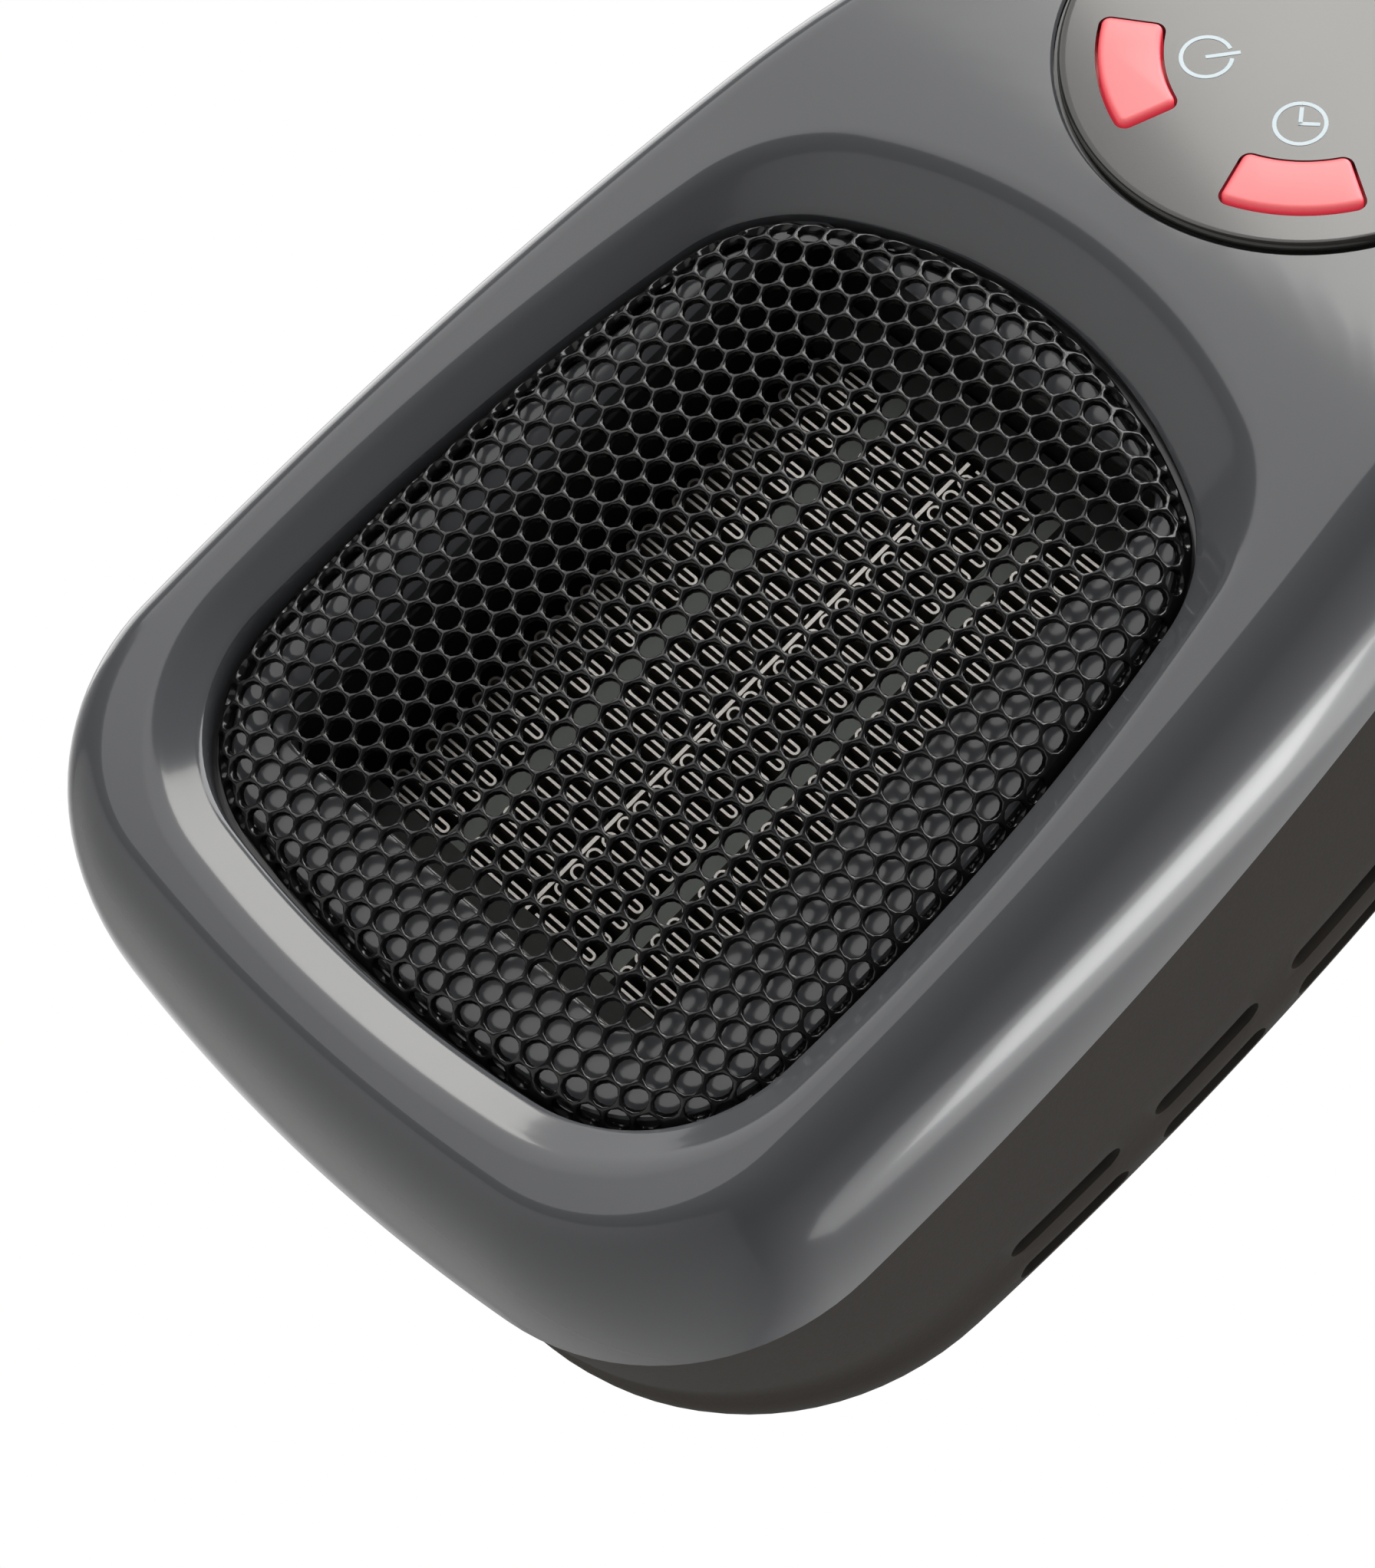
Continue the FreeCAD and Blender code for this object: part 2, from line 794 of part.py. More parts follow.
def bezel_form():
    """The bezel's outer form: drafted wall, leaning face, rounded rim and dish."""
    body = new_body("bezel_form")
    drafted(body, "Rim", BODY, PARTING, FRONT, size.bezel_depth, size.bezel_draft)
    wedge = front_wedge(body)
    fillet(body, wedge, "RimRound", size.rim_round, on_front)
    dish = loft("SubtractiveLoft", body, "Dish", (DISH_EDGE, FRONT), (DISH_FLOOR, FLOOR))
    fillet(body, dish, "DishRound", size.dish_round, round_dish)
    return body


def panel_behind(height, depth):
    """Y at a height of the plane that lies a depth behind the leaning face."""
    return panel_surface(height) + depth / cosine(size.panel_tilt)


def bezel_hollow():
    """The space inside the bezel, behind the dish's floor and the leaning face."""
    body = new_body("bezel_hollow")
    drafted(body, "Hollow", BODY.inset(size.wall), PARTING, FRONT, size.bezel_depth, size.bezel_draft)
    low = -size.body_drop - MARGIN
    far = size.body_rise + MARGIN
    step = DISH_EDGE.top + size.wall / 2
    drawing = Drawing(body, "FrontSkin", "YZ_Plane")
    drawing.polygon([(FLOOR_BACK, low), (FLOOR_BACK, step), (panel_behind(step, size.panel_wall), step),
                     (panel_behind(far, size.panel_wall), far), (FRONT - MARGIN, far), (FRONT - MARGIN, low)])
    extrude("Pocket", drawing, "FrontSkinCut", size.body_half_width * 2 + MARGIN, both_ways=True)
    return body


def window():
    """The opening in the dish's floor in front of the heater."""
    body = new_body("window_cutter")
    drawing = Drawing(body, "Window", "XZ_Plane", -(FLOOR_BACK + size.wall))
    left, right = HEATER_X - WINDOW_HALF_WIDTH, HEATER_X + WINDOW_HALF_WIDTH
    low, high = HEATER_Z - WINDOW_HALF_HEIGHT, HEATER_Z + WINDOW_HALF_HEIGHT
    drawing.polygon([(left, low), (right, low), (right, high), (left, high)])
    hole = extrude("Pad", drawing, "WindowCut", size.floor_wall + size.wall * 2)
    fillet(body, hole, "WindowCorners", size.window_corner, along(AXIS_Y))
    return body


def disc_seat():
    """The stepped round hole that the control disc sits in."""
    mouth = peg("disc_mouth", size.disc_radius + size.disc_groove, 0, 0, -size.disc_wall, MARGIN)
    throat = peg("disc_throat", size.disc_radius - size.disc_ledge, 0, 0, -size.panel_wall - MARGIN, MARGIN)
    return on_panel(fuse("disc_seat", mouth, throat))


def front_bezel():
    skin = cut("bezel_skin", bezel_form(), bezel_hollow())
    floor_root = FLOOR + size.floor_wall / 4
    bosses = []
    pilots = []
    for index, (across, up) in enumerate(case_points(), start=1):
        start = floor_root if value(up) < 0 else panel_surface(up + size.case_boss_radius) + size.wall / 2
        bosses.append(rod(f"case_boss_{index}", size.case_boss_radius, across, up, start, CASE_JOINT))
        depth = size.case_screw_length - size.case_seat + size.wall / 2
        pilots.append(rod(f"case_pilot_{index}", size.case_screw_radius + size.screw_gap, across, up,
                          CASE_JOINT - depth, CASE_JOINT + size.wall))
    for index, (across, up) in enumerate(duct_points(), start=1):
        bosses.append(rod(f"duct_boss_{index}", size.stud_radius, across, up, floor_root, EAR_FRONT))
        depth = size.screw_length - size.ear_wall + size.screw_relief
        pilots.append(rod(f"duct_pilot_{index}", size.screw_radius + size.screw_gap, across, up,
                          EAR_FRONT - depth, EAR_FRONT + size.wall))
    return cut("front_bezel", fuse("bezel_with_bosses", skin, *bosses), window(), disc_seat(), *pilots)


def shell_form():
    """The rear shell's outer form, which narrows towards its back and most at its foot."""
    body = new_body("shell_form")
    wall = loft("AdditiveLoft", body, "Wall", (BODY.inset(size.parting_step), PARTING), (SHELL_BACK, BACK))
    fillet(body, wall, "BackRound", size.back_round, level(AXIS_Y, value(BACK)))
    return body


def shell_hollow():
    """The space inside the rear shell."""
    body = new_body("shell_hollow")
    space = loft("AdditiveLoft", body, "Space", (BODY.inset(size.parting_step + size.wall), PARTING),
                 (SHELL_BACK.inset(size.wall), BACK_INSIDE))
    fillet(body, space, "SpaceRound", size.back_inside_round, level(AXIS_Y, value(BACK_INSIDE)))
    return body


def air_slots():
    """Rows of upright slots right across the shell, which open both of its sides."""
    body = new_body("slot_cutter")
    drawing = Drawing(body, "Slots", "YZ_Plane")
    half = size.slot_width / 2
    low = size.slot_low_height - size.slot_length / 2
    high = size.slot_low_height + size.slot_length / 2
    for index in range(int(value(size.slot_rows))):
        middle = FRONT + size.slot_setback + size.slot_row_pitch * index
        end_round = -size.slot_end_round
        near, far = middle - half, middle + half
        drawing.polygon([(near, low), (near, high), (far, high), (far, low)],
                        bends={1: end_round, 3: end_round})
    row = extrude("Pad", drawing, "SlotRow", size.body_half_width * 2 + MARGIN, both_ways=True)
    columns = body.newObject("PartDesign::LinearPattern", "SlotColumns")
    columns.Originals = [row]
    axis = [each for each in body.Origin.OriginFeatures if each.Role == "Z_Axis"]
    columns.Direction = (axis[0], [""])
    bind(columns, "Length", size.slot_column_pitch * (size.slot_columns - 1))
    bind(columns, "Occurrences", size.slot_columns)
    body.Tip = columns
    return body


def rear_shell():
    form = shell_form()
    walls = cut("shell_walls", form, shell_hollow())
    slotted = cut("shell_slotted", walls, air_slots())
    posts = []
    bores = [rod("plug_opening", size.plug_radius + size.plug_gap, 0, 0,
                 BACK_INSIDE - size.wall, BACK + size.wall)]
    tunnel = size.case_screw_head_radius + size.case_tunnel_gap
    for index, (across, up) in enumerate(case_points(), start=1):
        posts.append(rod(f"tunnel_{index}", tunnel + size.tunnel_wall, across, up, CASE_JOINT, BACK))
        bores.append(rod(f"tunnel_bore_{index}", tunnel, across, up, CASE_SEAT, BACK + size.wall))
        bores.append(rod(f"tunnel_hole_{index}", size.case_screw_radius + size.screw_gap, across, up,
                         CASE_JOINT - size.wall, CASE_SEAT + size.wall))
    for index, (across, up) in enumerate(stud_points(), start=1):
        posts.append(rod(f"stud_{index}", size.stud_radius, across, up, POWER_BACK, BACK))
        bores.append(rod(f"stud_pilot_{index}", size.screw_radius + size.screw_gap, across, up,
                         POWER_BACK - size.wall, POWER_BACK + size.screw_length))
    for index, (across, up) in enumerate(retainer_points(), start=1):
        posts.append(rod(f"retainer_boss_{index}", size.retainer_boss, across, up, RETAINER_BACK, BACK))
        bores.append(rod(f"retainer_pilot_{index}", size.screw_radius + size.screw_gap, across, up,
                         RETAINER_BACK - size.wall, BACK_INSIDE + size.screw_relief * 2))
    inside = common("shell_posts", fuse("shell_bars", *posts), form)
    return cut("rear_shell", fuse("shell_with_posts", slotted, inside), *bores)


def grille_form(name, shape, crown, top):
    """A solid crowned form on the dish's floor."""
    body = new_body(name)
    drawing = Drawing(body, f"{name}Outline", "XZ_Plane", -FLOOR)
    drawing.outline(shape)
    extrude("Pad", drawing, f"{name}Pad", size.dish_depth)
    reach = size.grille_half_width + size.wall
    sag = crown - root(crown * crown - reach * reach)
    over = Drawing(body, f"{name}Crown", "XY_Plane")
    over.polygon([(-reach, top + sag), (reach, top + sag), (reach, top - MARGIN), (-reach, top - MARGIN)],
                 bends={0: crown})
    crowned = extrude("Pocket", over, f"{name}CrownCut", size.body_drop * 4, both_ways=True)
    return body, crowned


def grille_holes():
    """Staggered round holes over the grille, in upright columns."""
    pitch, radius = value(size.hole_pitch), value(size.hole_radius)
    step = pitch * math.sqrt(3) / 2
    field = GRILLE.inset(size.hole_edge).face()
    start, length = value(FRONT - size.wall), value(size.dish_depth + size.wall)
    columns = int(value(size.grille_half_width) / step) + 1
    rows = int(value(size.grille_rise + size.grille_fall) / pitch) + 1
    bars = []
    for column in range(-columns, columns + 1):
        shift = pitch / 2 if column % 2 else 0
        for line in range(-rows, rows + 1):
            across, up = column * step, value(HEATER_Z) + line * pitch + shift
            if field.isInside(Vector(across, up, 0), 1e-6, True):
                bars.append(Part.makeCylinder(radius, length, Vector(across, start, up), AXIS_Y))
    holes = doc.addObject("Part::Feature", "grille_holes")
    holes.Shape = Part.Compound(bars)
    holes.Placement = Placement()
    return holes


def crown_edge(top):
    """A test for edges round a crowned form's front."""
    def chosen(edge):
        middle = value(FLOOR + top) / 2
        return all(point.y < middle for point in edge.discretize(3))
    return chosen


def grille():
    """The drawn steel sheet: a crowned form less the same form one sheet smaller, and its holes."""
    outer, outer_crown = grille_form("grille_outer", GRILLE, size.grille_crown, FRONT)
    fillet(outer, outer_crown, "grille_outer_round", size.grille_round, crown_edge(FRONT))
    inside_top = FRONT + size.sheet
    inner, inner_crown = grille_form("grille_inner", GRILLE.inset(size.sheet), size.grille_crown - size.sheet,
                                     inside_top)
    fillet(inner, inner_crown, "grille_inner_round", size.grille_round - size.sheet, crown_edge(inside_top))
    return cut("grille", cut("grille_sheet", outer, inner), grille_holes())


def button_segment(drawing, angle, spread=0):
    """A ring segment on the control disc, grown by a gap all round."""
    inner, outer = size.button_inner - spread, size.button_outer + spread
    half = size.button_half_span + (outer - size.button_outer) / BUTTON_MIDDLE * DEGREES_PER_RADIAN
    first, last = angle - half, angle + half
    corners = [(inner, first), (outer, first), (outer, last), (inner, last)]
    drawing.polygon([(reach * cosine(turn), reach * sine(turn)) for reach, turn in corners],
                    bends={1: outer, 3: -inner})


DEGREES_PER_RADIAN = 180 / math.pi
BUTTON_ANGLES = {
    "button_plus": size.button_angle,
    "button_minus": 180 - size.button_angle,
    "button_power": 180 + size.button_angle,
    "button_timer": 360 - size.button_angle,
}
BUTTON_MIDDLE = (size.button_inner + size.button_outer) / 2
LIP_TOP = -size.disc_wall - size.button_gap
LIP_BOTTOM = LIP_TOP - size.button_lip_wall
STEM_END = LIP_BOTTOM - size.button_stem
PLUNGER_TOP = STEM_END - size.button_travel - size.button_gap
BOARD_TOP = -size.board_depth


def control_disc():
    body = new_body("control_disc")
    plate = Drawing(body, "Plate", "XY_Plane", -size.disc_wall)
    plate.circle(0, 0, size.disc_radius)
    extrude("Pad", plate, "PlatePad", size.disc_wall)
    posts = Drawing(body, "Posts", "XY_Plane", -size.disc_wall)
    for across, up in post_points():
        posts.circle(across, up, size.post_radius)
    extrude("Pad", posts, "PostPads", size.board_depth - size.disc_wall, backward=True)
    openings = Drawing(body, "Openings", "XY_Plane")
    for angle in BUTTON_ANGLES.values():
        button_segment(openings, angle, size.button_gap)
    cuts = extrude("Pocket", openings, "OpeningCuts", size.disc_wall * 4, both_ways=True)
    fillet(body, cuts, "OpeningCorners", size.button_corner + size.button_gap, along(AXIS_Z))
    pilots = Drawing(body, "Pilots", "XY_Plane", BOARD_TOP)
    for across, up in post_points():
        pilots.circle(across, up, size.board_screw_radius + size.screw_gap)
    body.Tip = extrude("Pocket", pilots, "PilotCuts", size.board_depth - size.disc_wall, backward=True)
    return on_panel(body)


def button(name, angle):
    """A sprung button: crowned top, retaining lip and stem."""
    body = new_body(name)
    cap = Drawing(body, "Cap", "XY_Plane", LIP_TOP)
    button_segment(cap, angle)
    top = extrude("Pad", cap, "CapPad", size.button_proud - LIP_TOP)
    sides = fillet(body, top, "CapCorners", size.button_corner, along(AXIS_Z))
    fillet(body, sides, "CapCrown", size.button_crown, level(AXIS_Z, value(size.button_proud)))
    lip = Drawing(body, "Lip", "XY_Plane", LIP_BOTTOM)
    button_segment(lip, angle, size.button_lip)
    extrude("Pad", lip, "LipPad", size.button_lip_wall)
    stem = Drawing(body, "Stem", "XY_Plane", STEM_END)
    stem.circle(BUTTON_MIDDLE * cosine(angle), BUTTON_MIDDLE * sine(angle), size.button_stem_radius)
    body.Tip = extrude("Pad", stem, "StemPad", size.button_stem)
    return on_panel(body)


def control_board():
    board = peg("board_disc", size.disc_radius - size.disc_ledge - size.board_edge_gap, 0, 0,
                BOARD_TOP - size.board_wall, BOARD_TOP)
    holes = [peg(f"board_hole_{index}", size.board_screw_radius + size.screw_gap, across, up,
                 BOARD_TOP - MARGIN, BOARD_TOP + size.wall)
             for index, (across, up) in enumerate(post_points(), start=1)]
    return on_panel(cut("control_board", board, *holes))


def board_screws():
    """Small screws through the control board into the disc's posts."""
    pieces = []
    seat = BOARD_TOP - size.board_wall
    radius = size.board_screw_radius
    for index, (across, up) in enumerate(post_points(), start=1):
        shank = peg(f"board_shank_{index}", radius, across, up, seat, seat + size.board_screw_length)
        head = peg(f"board_head_{index}", radius * 2, across, up, seat - radius, seat)
        pieces.append(fuse(f"board_screw_{index}", shank, head))
    return on_panel(group("board_screws", pieces))


def tact_switches():
    pieces = []
    half = size.switch_side / 2
    body_top = PLUNGER_TOP - size.switch_plunger
    for name, angle in BUTTON_ANGLES.items():
        across, up = BUTTON_MIDDLE * cosine(angle), BUTTON_MIDDLE * sine(angle)
        block = slab(f"{name}_switch", (across - half, up - half, BOARD_TOP),
                     (across + half, up + half, body_top))
        plunger = peg(f"{name}_plunger", size.switch_plunger_radius, across, up, body_top, PLUNGER_TOP)
        pieces.append(fuse(f"{name}_tact", block, plunger))
    return on_panel(group("tact_switches", pieces))


def display_module():
    width, height = size.display_width / 2, size.display_height / 2
    block = slab("display_block", (-width, -height, BOARD_TOP),
                 (width, height, -size.disc_wall - size.display_gap))
    return on_panel(group("display_module", [block]))


STRIP_MIDDLE = size.divider_wall / 2 + size.fin_width + size.strip_wall / 2
STACK_TOP = HEATER_Z + size.heater_length / 2
STACK_BOTTOM = HEATER_Z - size.heater_length / 2
STACK_MIDDLE = (STACK_FRONT + STACK_BACK) / 2
TAB_TOP = STACK_TOP + size.tab_length


def heater_strip(name, across):
    half, tab = size.strip_wall / 2, size.tab_wall / 2
    strip = slab(f"{name}_bar", (across - half, STACK_FRONT, STACK_BOTTOM),
                 (across + half, STACK_BACK, STACK_TOP))
    terminal = slab(f"{name}_tab", (across - tab, STACK_MIDDLE - size.tab_width / 2, STACK_TOP - size.wall),
                    (across + tab, STACK_MIDDLE + size.tab_width / 2, TAB_TOP))
    return fuse(name, strip, terminal)


def tab_slots(name):
    """Clearance for the strips' terminals, up through the holder and the duct."""
    slots = []
    for side, across in (("left", HEATER_X - STRIP_MIDDLE), ("right", HEATER_X + STRIP_MIDDLE)):
        half = size.tab_wall / 2 + size.tab_gap
        reach = size.tab_width / 2 + size.tab_gap
        slots.append(slab(f"{name}_slot_{side}", (across - half, STACK_MIDDLE - reach, STACK_TOP - size.wall),
                          (across + half, STACK_MIDDLE + reach, TAB_TOP + size.wall)))
    return slots


def fin_row(name, left):
    """A folded aluminium strip, with flat runs across the row and short joins at its sides."""
    sheet_wall, pitch, gap = value(size.fin_sheet), value(size.fin_pitch), value(size.fin_gap)
    width = value(size.fin_width) - 2 * gap
    runs = int((value(size.heater_length) - sheet_wall) / pitch) + 1
    near, far = sheet_wall / 2, width - sheet_wall / 2
    line = []
    for index in range(runs):
        ends = (near, far) if index % 2 == 0 else (far, near)
        line += [(ends[0], index * pitch), (ends[1], index * pitch)]
    first, second = [], []
    for index, (across, up) in enumerate(line):
        normal = [0.0, 0.0]
        for start, end in zip(line[max(index - 1, 0):index + 1], line[max(index, 1):index + 2]):
            length = math.hypot(end[0] - start[0], end[1] - start[1])
            normal[0] -= (end[1] - start[1]) / length
            normal[1] += (end[0] - start[0]) / length
        shift = sheet_wall / 2
        first.append(Vector(across + normal[0] * shift, 0, up + normal[1] * shift))
        second.append(Vector(across - normal[0] * shift, 0, up - normal[1] * shift))
    loop = first + second[::-1]
    row = doc.addObject("Part::Feature", name)
    row.Shape = Part.Face(Part.makePolygon(loop + loop[:1])).extrude(AXIS_Y * value(size.heater_thickness))
    corner = Vector(value(left) + gap, value(STACK_FRONT), value(STACK_BOTTOM) + sheet_wall / 2)
    row.Placement = Placement(corner, Rotation())
    return row


def heater_pieces():
    """The heater stack and the two blocks that hold its ends."""
    left_strip, right_strip = HEATER_X - STRIP_MIDDLE, HEATER_X + STRIP_MIDDLE
    half_strip, half_divider = size.strip_wall / 2, size.divider_wall / 2
    divider = slab("heater_divider", (HEATER_X - half_divider, STACK_FRONT, STACK_BOTTOM),
                   (HEATER_X + half_divider, STACK_BACK, STACK_TOP))
    lefts = (left_strip - half_strip - size.fin_width, left_strip + half_strip,
             HEATER_X + half_divider, right_strip + half_strip)
    fins = [fin_row(f"fin_row_{index}", left) for index, left in enumerate(lefts, start=1)]
    reach = WINDOW_HALF_WIDTH - size.duct_gap
    top = slab("holder_block", (HEATER_X - reach, STACK_FRONT, STACK_TOP),
               (HEATER_X + reach, STACK_BACK, STACK_TOP + size.holder_height))
    bottom = slab("heater_holder_bottom", (HEATER_X - reach, STACK_FRONT, STACK_BOTTOM - size.holder_height),
                  (HEATER_X + reach, STACK_BACK, STACK_BOTTOM))
    return [heater_strip("heater_strip_left", left_strip), heater_strip("heater_strip_right", right_strip),
            divider, *fins, cut("heater_holder_top", top, *tab_slots("holder")), bottom]


def bracket_points():
    """Places of the three screws that hold the motor bracket, from the fan's axis."""
    circle = RING_RADIUS + size.stud_radius / 2
    for angle in (60, 180, 300):
        yield circle * math.cos(math.radians(angle)), circle * math.sin(math.radians(angle))


def heater_duct():
    """A square tube round the heater that ends in a round fan ring."""
    def tunnel(name, wide, high, start, end):
        return slab(name, (HEATER_X - wide, start, HEATER_Z - high), (HEATER_X + wide, end, HEATER_Z + high))

    tube_outer = tunnel("duct_tube", DUCT_HALF_WIDTH, DUCT_HALF_HEIGHT, FLOOR_BACK, DUCT_END)
    plate = tunnel("duct_plate", RING_RADIUS, DUCT_HALF_HEIGHT, DUCT_END, RING_START)
    ring = rod("duct_ring", RING_RADIUS, HEATER_X, HEATER_Z, RING_START, RING_END)
    solids = [tube_outer, plate, ring]
    holes = [tunnel("duct_bore", WINDOW_HALF_WIDTH, WINDOW_HALF_HEIGHT, FLOOR_BACK - size.wall, DUCT_END),
             rod("ring_bore", RING_BORE, HEATER_X, HEATER_Z, RING_START, RING_END + size.wall),
             common("duct_throat",
                    tunnel("throat_block", WINDOW_HALF_WIDTH, WINDOW_HALF_HEIGHT,
                           DUCT_END - size.wall, RING_START + size.wall),
                    rod("throat_bar", RING_BORE, HEATER_X, HEATER_Z,
                        DUCT_END - size.wall, RING_START + size.wall)),
             *tab_slots("duct")]
    half = size.ear_side / 2
    for index, (across, up) in enumerate(duct_points(), start=1):
        solids.append(slab(f"duct_ear_{index}", (across - half, EAR_FRONT, up - half),
                           (across + half, EAR_FRONT + size.ear_wall, up + half)))
        holes.append(rod(f"duct_ear_hole_{index}", size.screw_radius + size.screw_gap, across, up,
                         EAR_FRONT - size.wall, EAR_FRONT + size.ear_wall + size.wall))
    for index, (across, up) in enumerate(bracket_points(), start=1):
        place = HEATER_X + across, HEATER_Z + up
        solids.append(rod(f"ring_boss_{index}", size.stud_radius, *place, RING_START, RING_END))
        holes.append(rod(f"ring_pilot_{index}", size.screw_radius + size.screw_gap, *place,
                         RING_END - size.screw_length, RING_END + size.wall))
    return cut("heater_duct", fuse("duct_solid", *solids), *holes)


def thermal_cutout():
    half = size.cutout_width / 2
    seat = HEATER_Z + DUCT_HALF_HEIGHT
    return slab("thermal_cutout", (HEATER_X - half, STACK_MIDDLE - size.cutout_depth / 2, seat),
                (HEATER_X + half, STACK_MIDDLE + size.cutout_depth / 2, seat + size.cutout_height))


FAN_FRONT = RING_START + size.fan_setback
BRACKET_BACK = RING_END + size.bracket_wall
MOTOR_BACK = BRACKET_BACK + size.motor_length


def fan_impeller():
    """An axial impeller, drawn about its own axis: hub, twisted blades and shaft bore."""
    body = new_body("fan_impeller")
    hub = Drawing(body, "Hub", "XZ_Plane")
    hub.circle(0, 0, size.hub_radius)
    hub.circle(0, 0, size.shaft_radius + size.shaft_gap)
    extrude("Pad", hub, "HubPad", size.fan_depth, backward=True)
    sections = []
    half = size.blade_wall / 2
    for part, reach, circle in (("Root", size.blade_root_reach, size.hub_radius - size.blade_wall / 2),
                                ("Tip", size.blade_tip_reach, size.fan_radius)):
        corner = reach + half
        section = Drawing(body, f"Blade{part}", "YZ_Plane", root(circle * circle - corner * corner))
        start, end = size.blade_wall / 2, size.fan_depth - size.blade_wall / 2
        section.polygon([(start, -reach - half), (end, reach - half),
                         (end, reach + half), (start, -reach + half)])
        sections.append(section.sketch)
    blade = body.newObject("PartDesign::AdditiveLoft", "Blade")
    blade.Profile = sections[0]
    blade.Sections = sections[1:]
    blade.Ruled = True
    body.Tip = ring_of(body, "Blades", blade, size.blade_count)
    put(body, HEATER_X, FAN_FRONT, HEATER_Z)
    return body


def ring_of(body, name, feature, count):
    """Copies of a feature round the body's own Y axis."""
    pattern = body.newObject("PartDesign::PolarPattern", name)
    pattern.Originals = [feature]
    axis = [each for each in body.Origin.OriginFeatures if each.Role == "Y_Axis"]
    pattern.Axis = (axis[0], [""])
    pattern.Angle = 360
    bind(pattern, "Occurrences", count)
    return pattern


def motor_bracket():
    """A spider across the fan ring that carries the motor, drawn about the fan's axis."""
    body = new_body("motor_bracket")
    rim = Drawing(body, "Rim", "XZ_Plane")
    rim.circle(0, 0, RING_RADIUS)
    rim.circle(0, 0, RING_BORE)
    extrude("Pad", rim, "RimPad", size.bracket_wall, backward=True)
    arm = Drawing(body, "Arm", "XZ_Plane")
    half = size.bracket_arm / 2
    inner, outer = size.bracket_hub - size.wall, RING_BORE + size.duct_wall / 2
    arm.polygon([(-half, inner), (half, inner), (half, outer), (-half, outer)])
    arm_pad = extrude("Pad", arm, "ArmPad", size.bracket_wall, backward=True)
    body.Tip = ring_of(body, "Arms", arm_pad, size.bracket_arms)
    hub = Drawing(body, "Hub", "XZ_Plane")
    hub.circle(0, 0, size.bracket_hub)
    extrude("Pad", hub, "HubPad", size.bracket_wall, backward=True)
    ears = Drawing(body, "Ears", "XZ_Plane")
    for across, up in bracket_points():
        ears.circle(across, up, size.stud_radius)
    extrude("Pad", ears, "EarPads", size.bracket_wall, backward=True)
    holes = Drawing(body, "Holes", "XZ_Plane")
    holes.circle(0, 0, size.motor_boss_radius + size.motor_boss_gap)
    for across in (-size.motor_screw_circle, size.motor_screw_circle):
        holes.circle(across, 0, size.board_screw_radius + size.screw_gap)
    for across, up in bracket_points():
        holes.circle(across, up, size.screw_radius + size.screw_gap)
    body.Tip = extrude("Pocket", holes, "HoleCuts", size.bracket_wall * 4, both_ways=True)
    put(body, HEATER_X, RING_END, HEATER_Z)
    return body


def motor():
    can = rod("motor_can", size.motor_radius, HEATER_X, HEATER_Z, BRACKET_BACK, MOTOR_BACK)
    boss = rod("motor_boss", size.motor_boss_radius, HEATER_X, HEATER_Z, RING_END, BRACKET_BACK)
    bores = [rod("motor_bore", size.shaft_radius + size.shaft_gap, HEATER_X, HEATER_Z,
                 RING_END - size.wall, BRACKET_BACK + size.motor_length / 2)]
    pilot = size.board_screw_radius + size.screw_gap
    for index, across in enumerate((-size.motor_screw_circle, size.motor_screw_circle), start=1):
        bores.append(rod(f"motor_pilot_{index}", pilot, HEATER_X + across, HEATER_Z,
                         BRACKET_BACK - size.wall, BRACKET_BACK + size.board_screw_length))
    return cut("motor", fuse("motor_solid", can, boss), *bores)


def motor_shaft():
    return rod("motor_shaft", size.shaft_radius, HEATER_X, HEATER_Z, FAN_FRONT,
               BRACKET_BACK + size.motor_length / 2 - size.shaft_end_gap)


POWER_FRONT = FRONT + size.power_board_setback
POWER_BACK = POWER_FRONT + size.board_wall
FLANGE_BACK = BACK_INSIDE - size.flange_gap
FLANGE_FRONT = FLANGE_BACK - size.flange_wall
CONTACT_FRONT = FLANGE_FRONT - size.contact_wall
RETAINER_BACK = FLANGE_FRONT - size.flange_gap
RETAINER_FRONT = RETAINER_BACK - size.retainer_wall


def power_board():
    plate = slab("power_plate", (-size.power_board_half_width, POWER_FRONT, -size.power_board_fall),
                 (size.power_board_half_width, POWER_BACK, size.power_board_rise))
    holes = [rod(f"power_hole_{index}", size.screw_radius + size.screw_gap, across, up,
                 POWER_FRONT - size.wall, POWER_BACK + size.wall)
             for index, (across, up) in enumerate(stud_points(), start=1)]
    return cut("power_board", plate, *holes)


def on_power_board(name, middle, low, width, height, depth):
    """A component that stands on the power board's front."""
    return slab(name, (middle - width / 2, POWER_FRONT - depth, low),
                (middle + width / 2, POWER_FRONT, low + height))


def power_parts():
    lead_end = TAB_TOP + size.lead_rise + size.lead_bend
    return [
        on_power_board("relay", size.relay_offset, -size.relay_drop, size.relay_width, size.relay_height,
                       size.relay_depth),
        on_power_board("filter_capacitor", -size.relay_offset, -size.relay_drop, size.capacitor_width,
                       size.capacitor_height, size.capacitor_depth),
        on_power_board("power_supply", HEATER_X, lead_end + size.wall, size.supply_width, size.supply_height,
                       size.supply_depth),
    ]


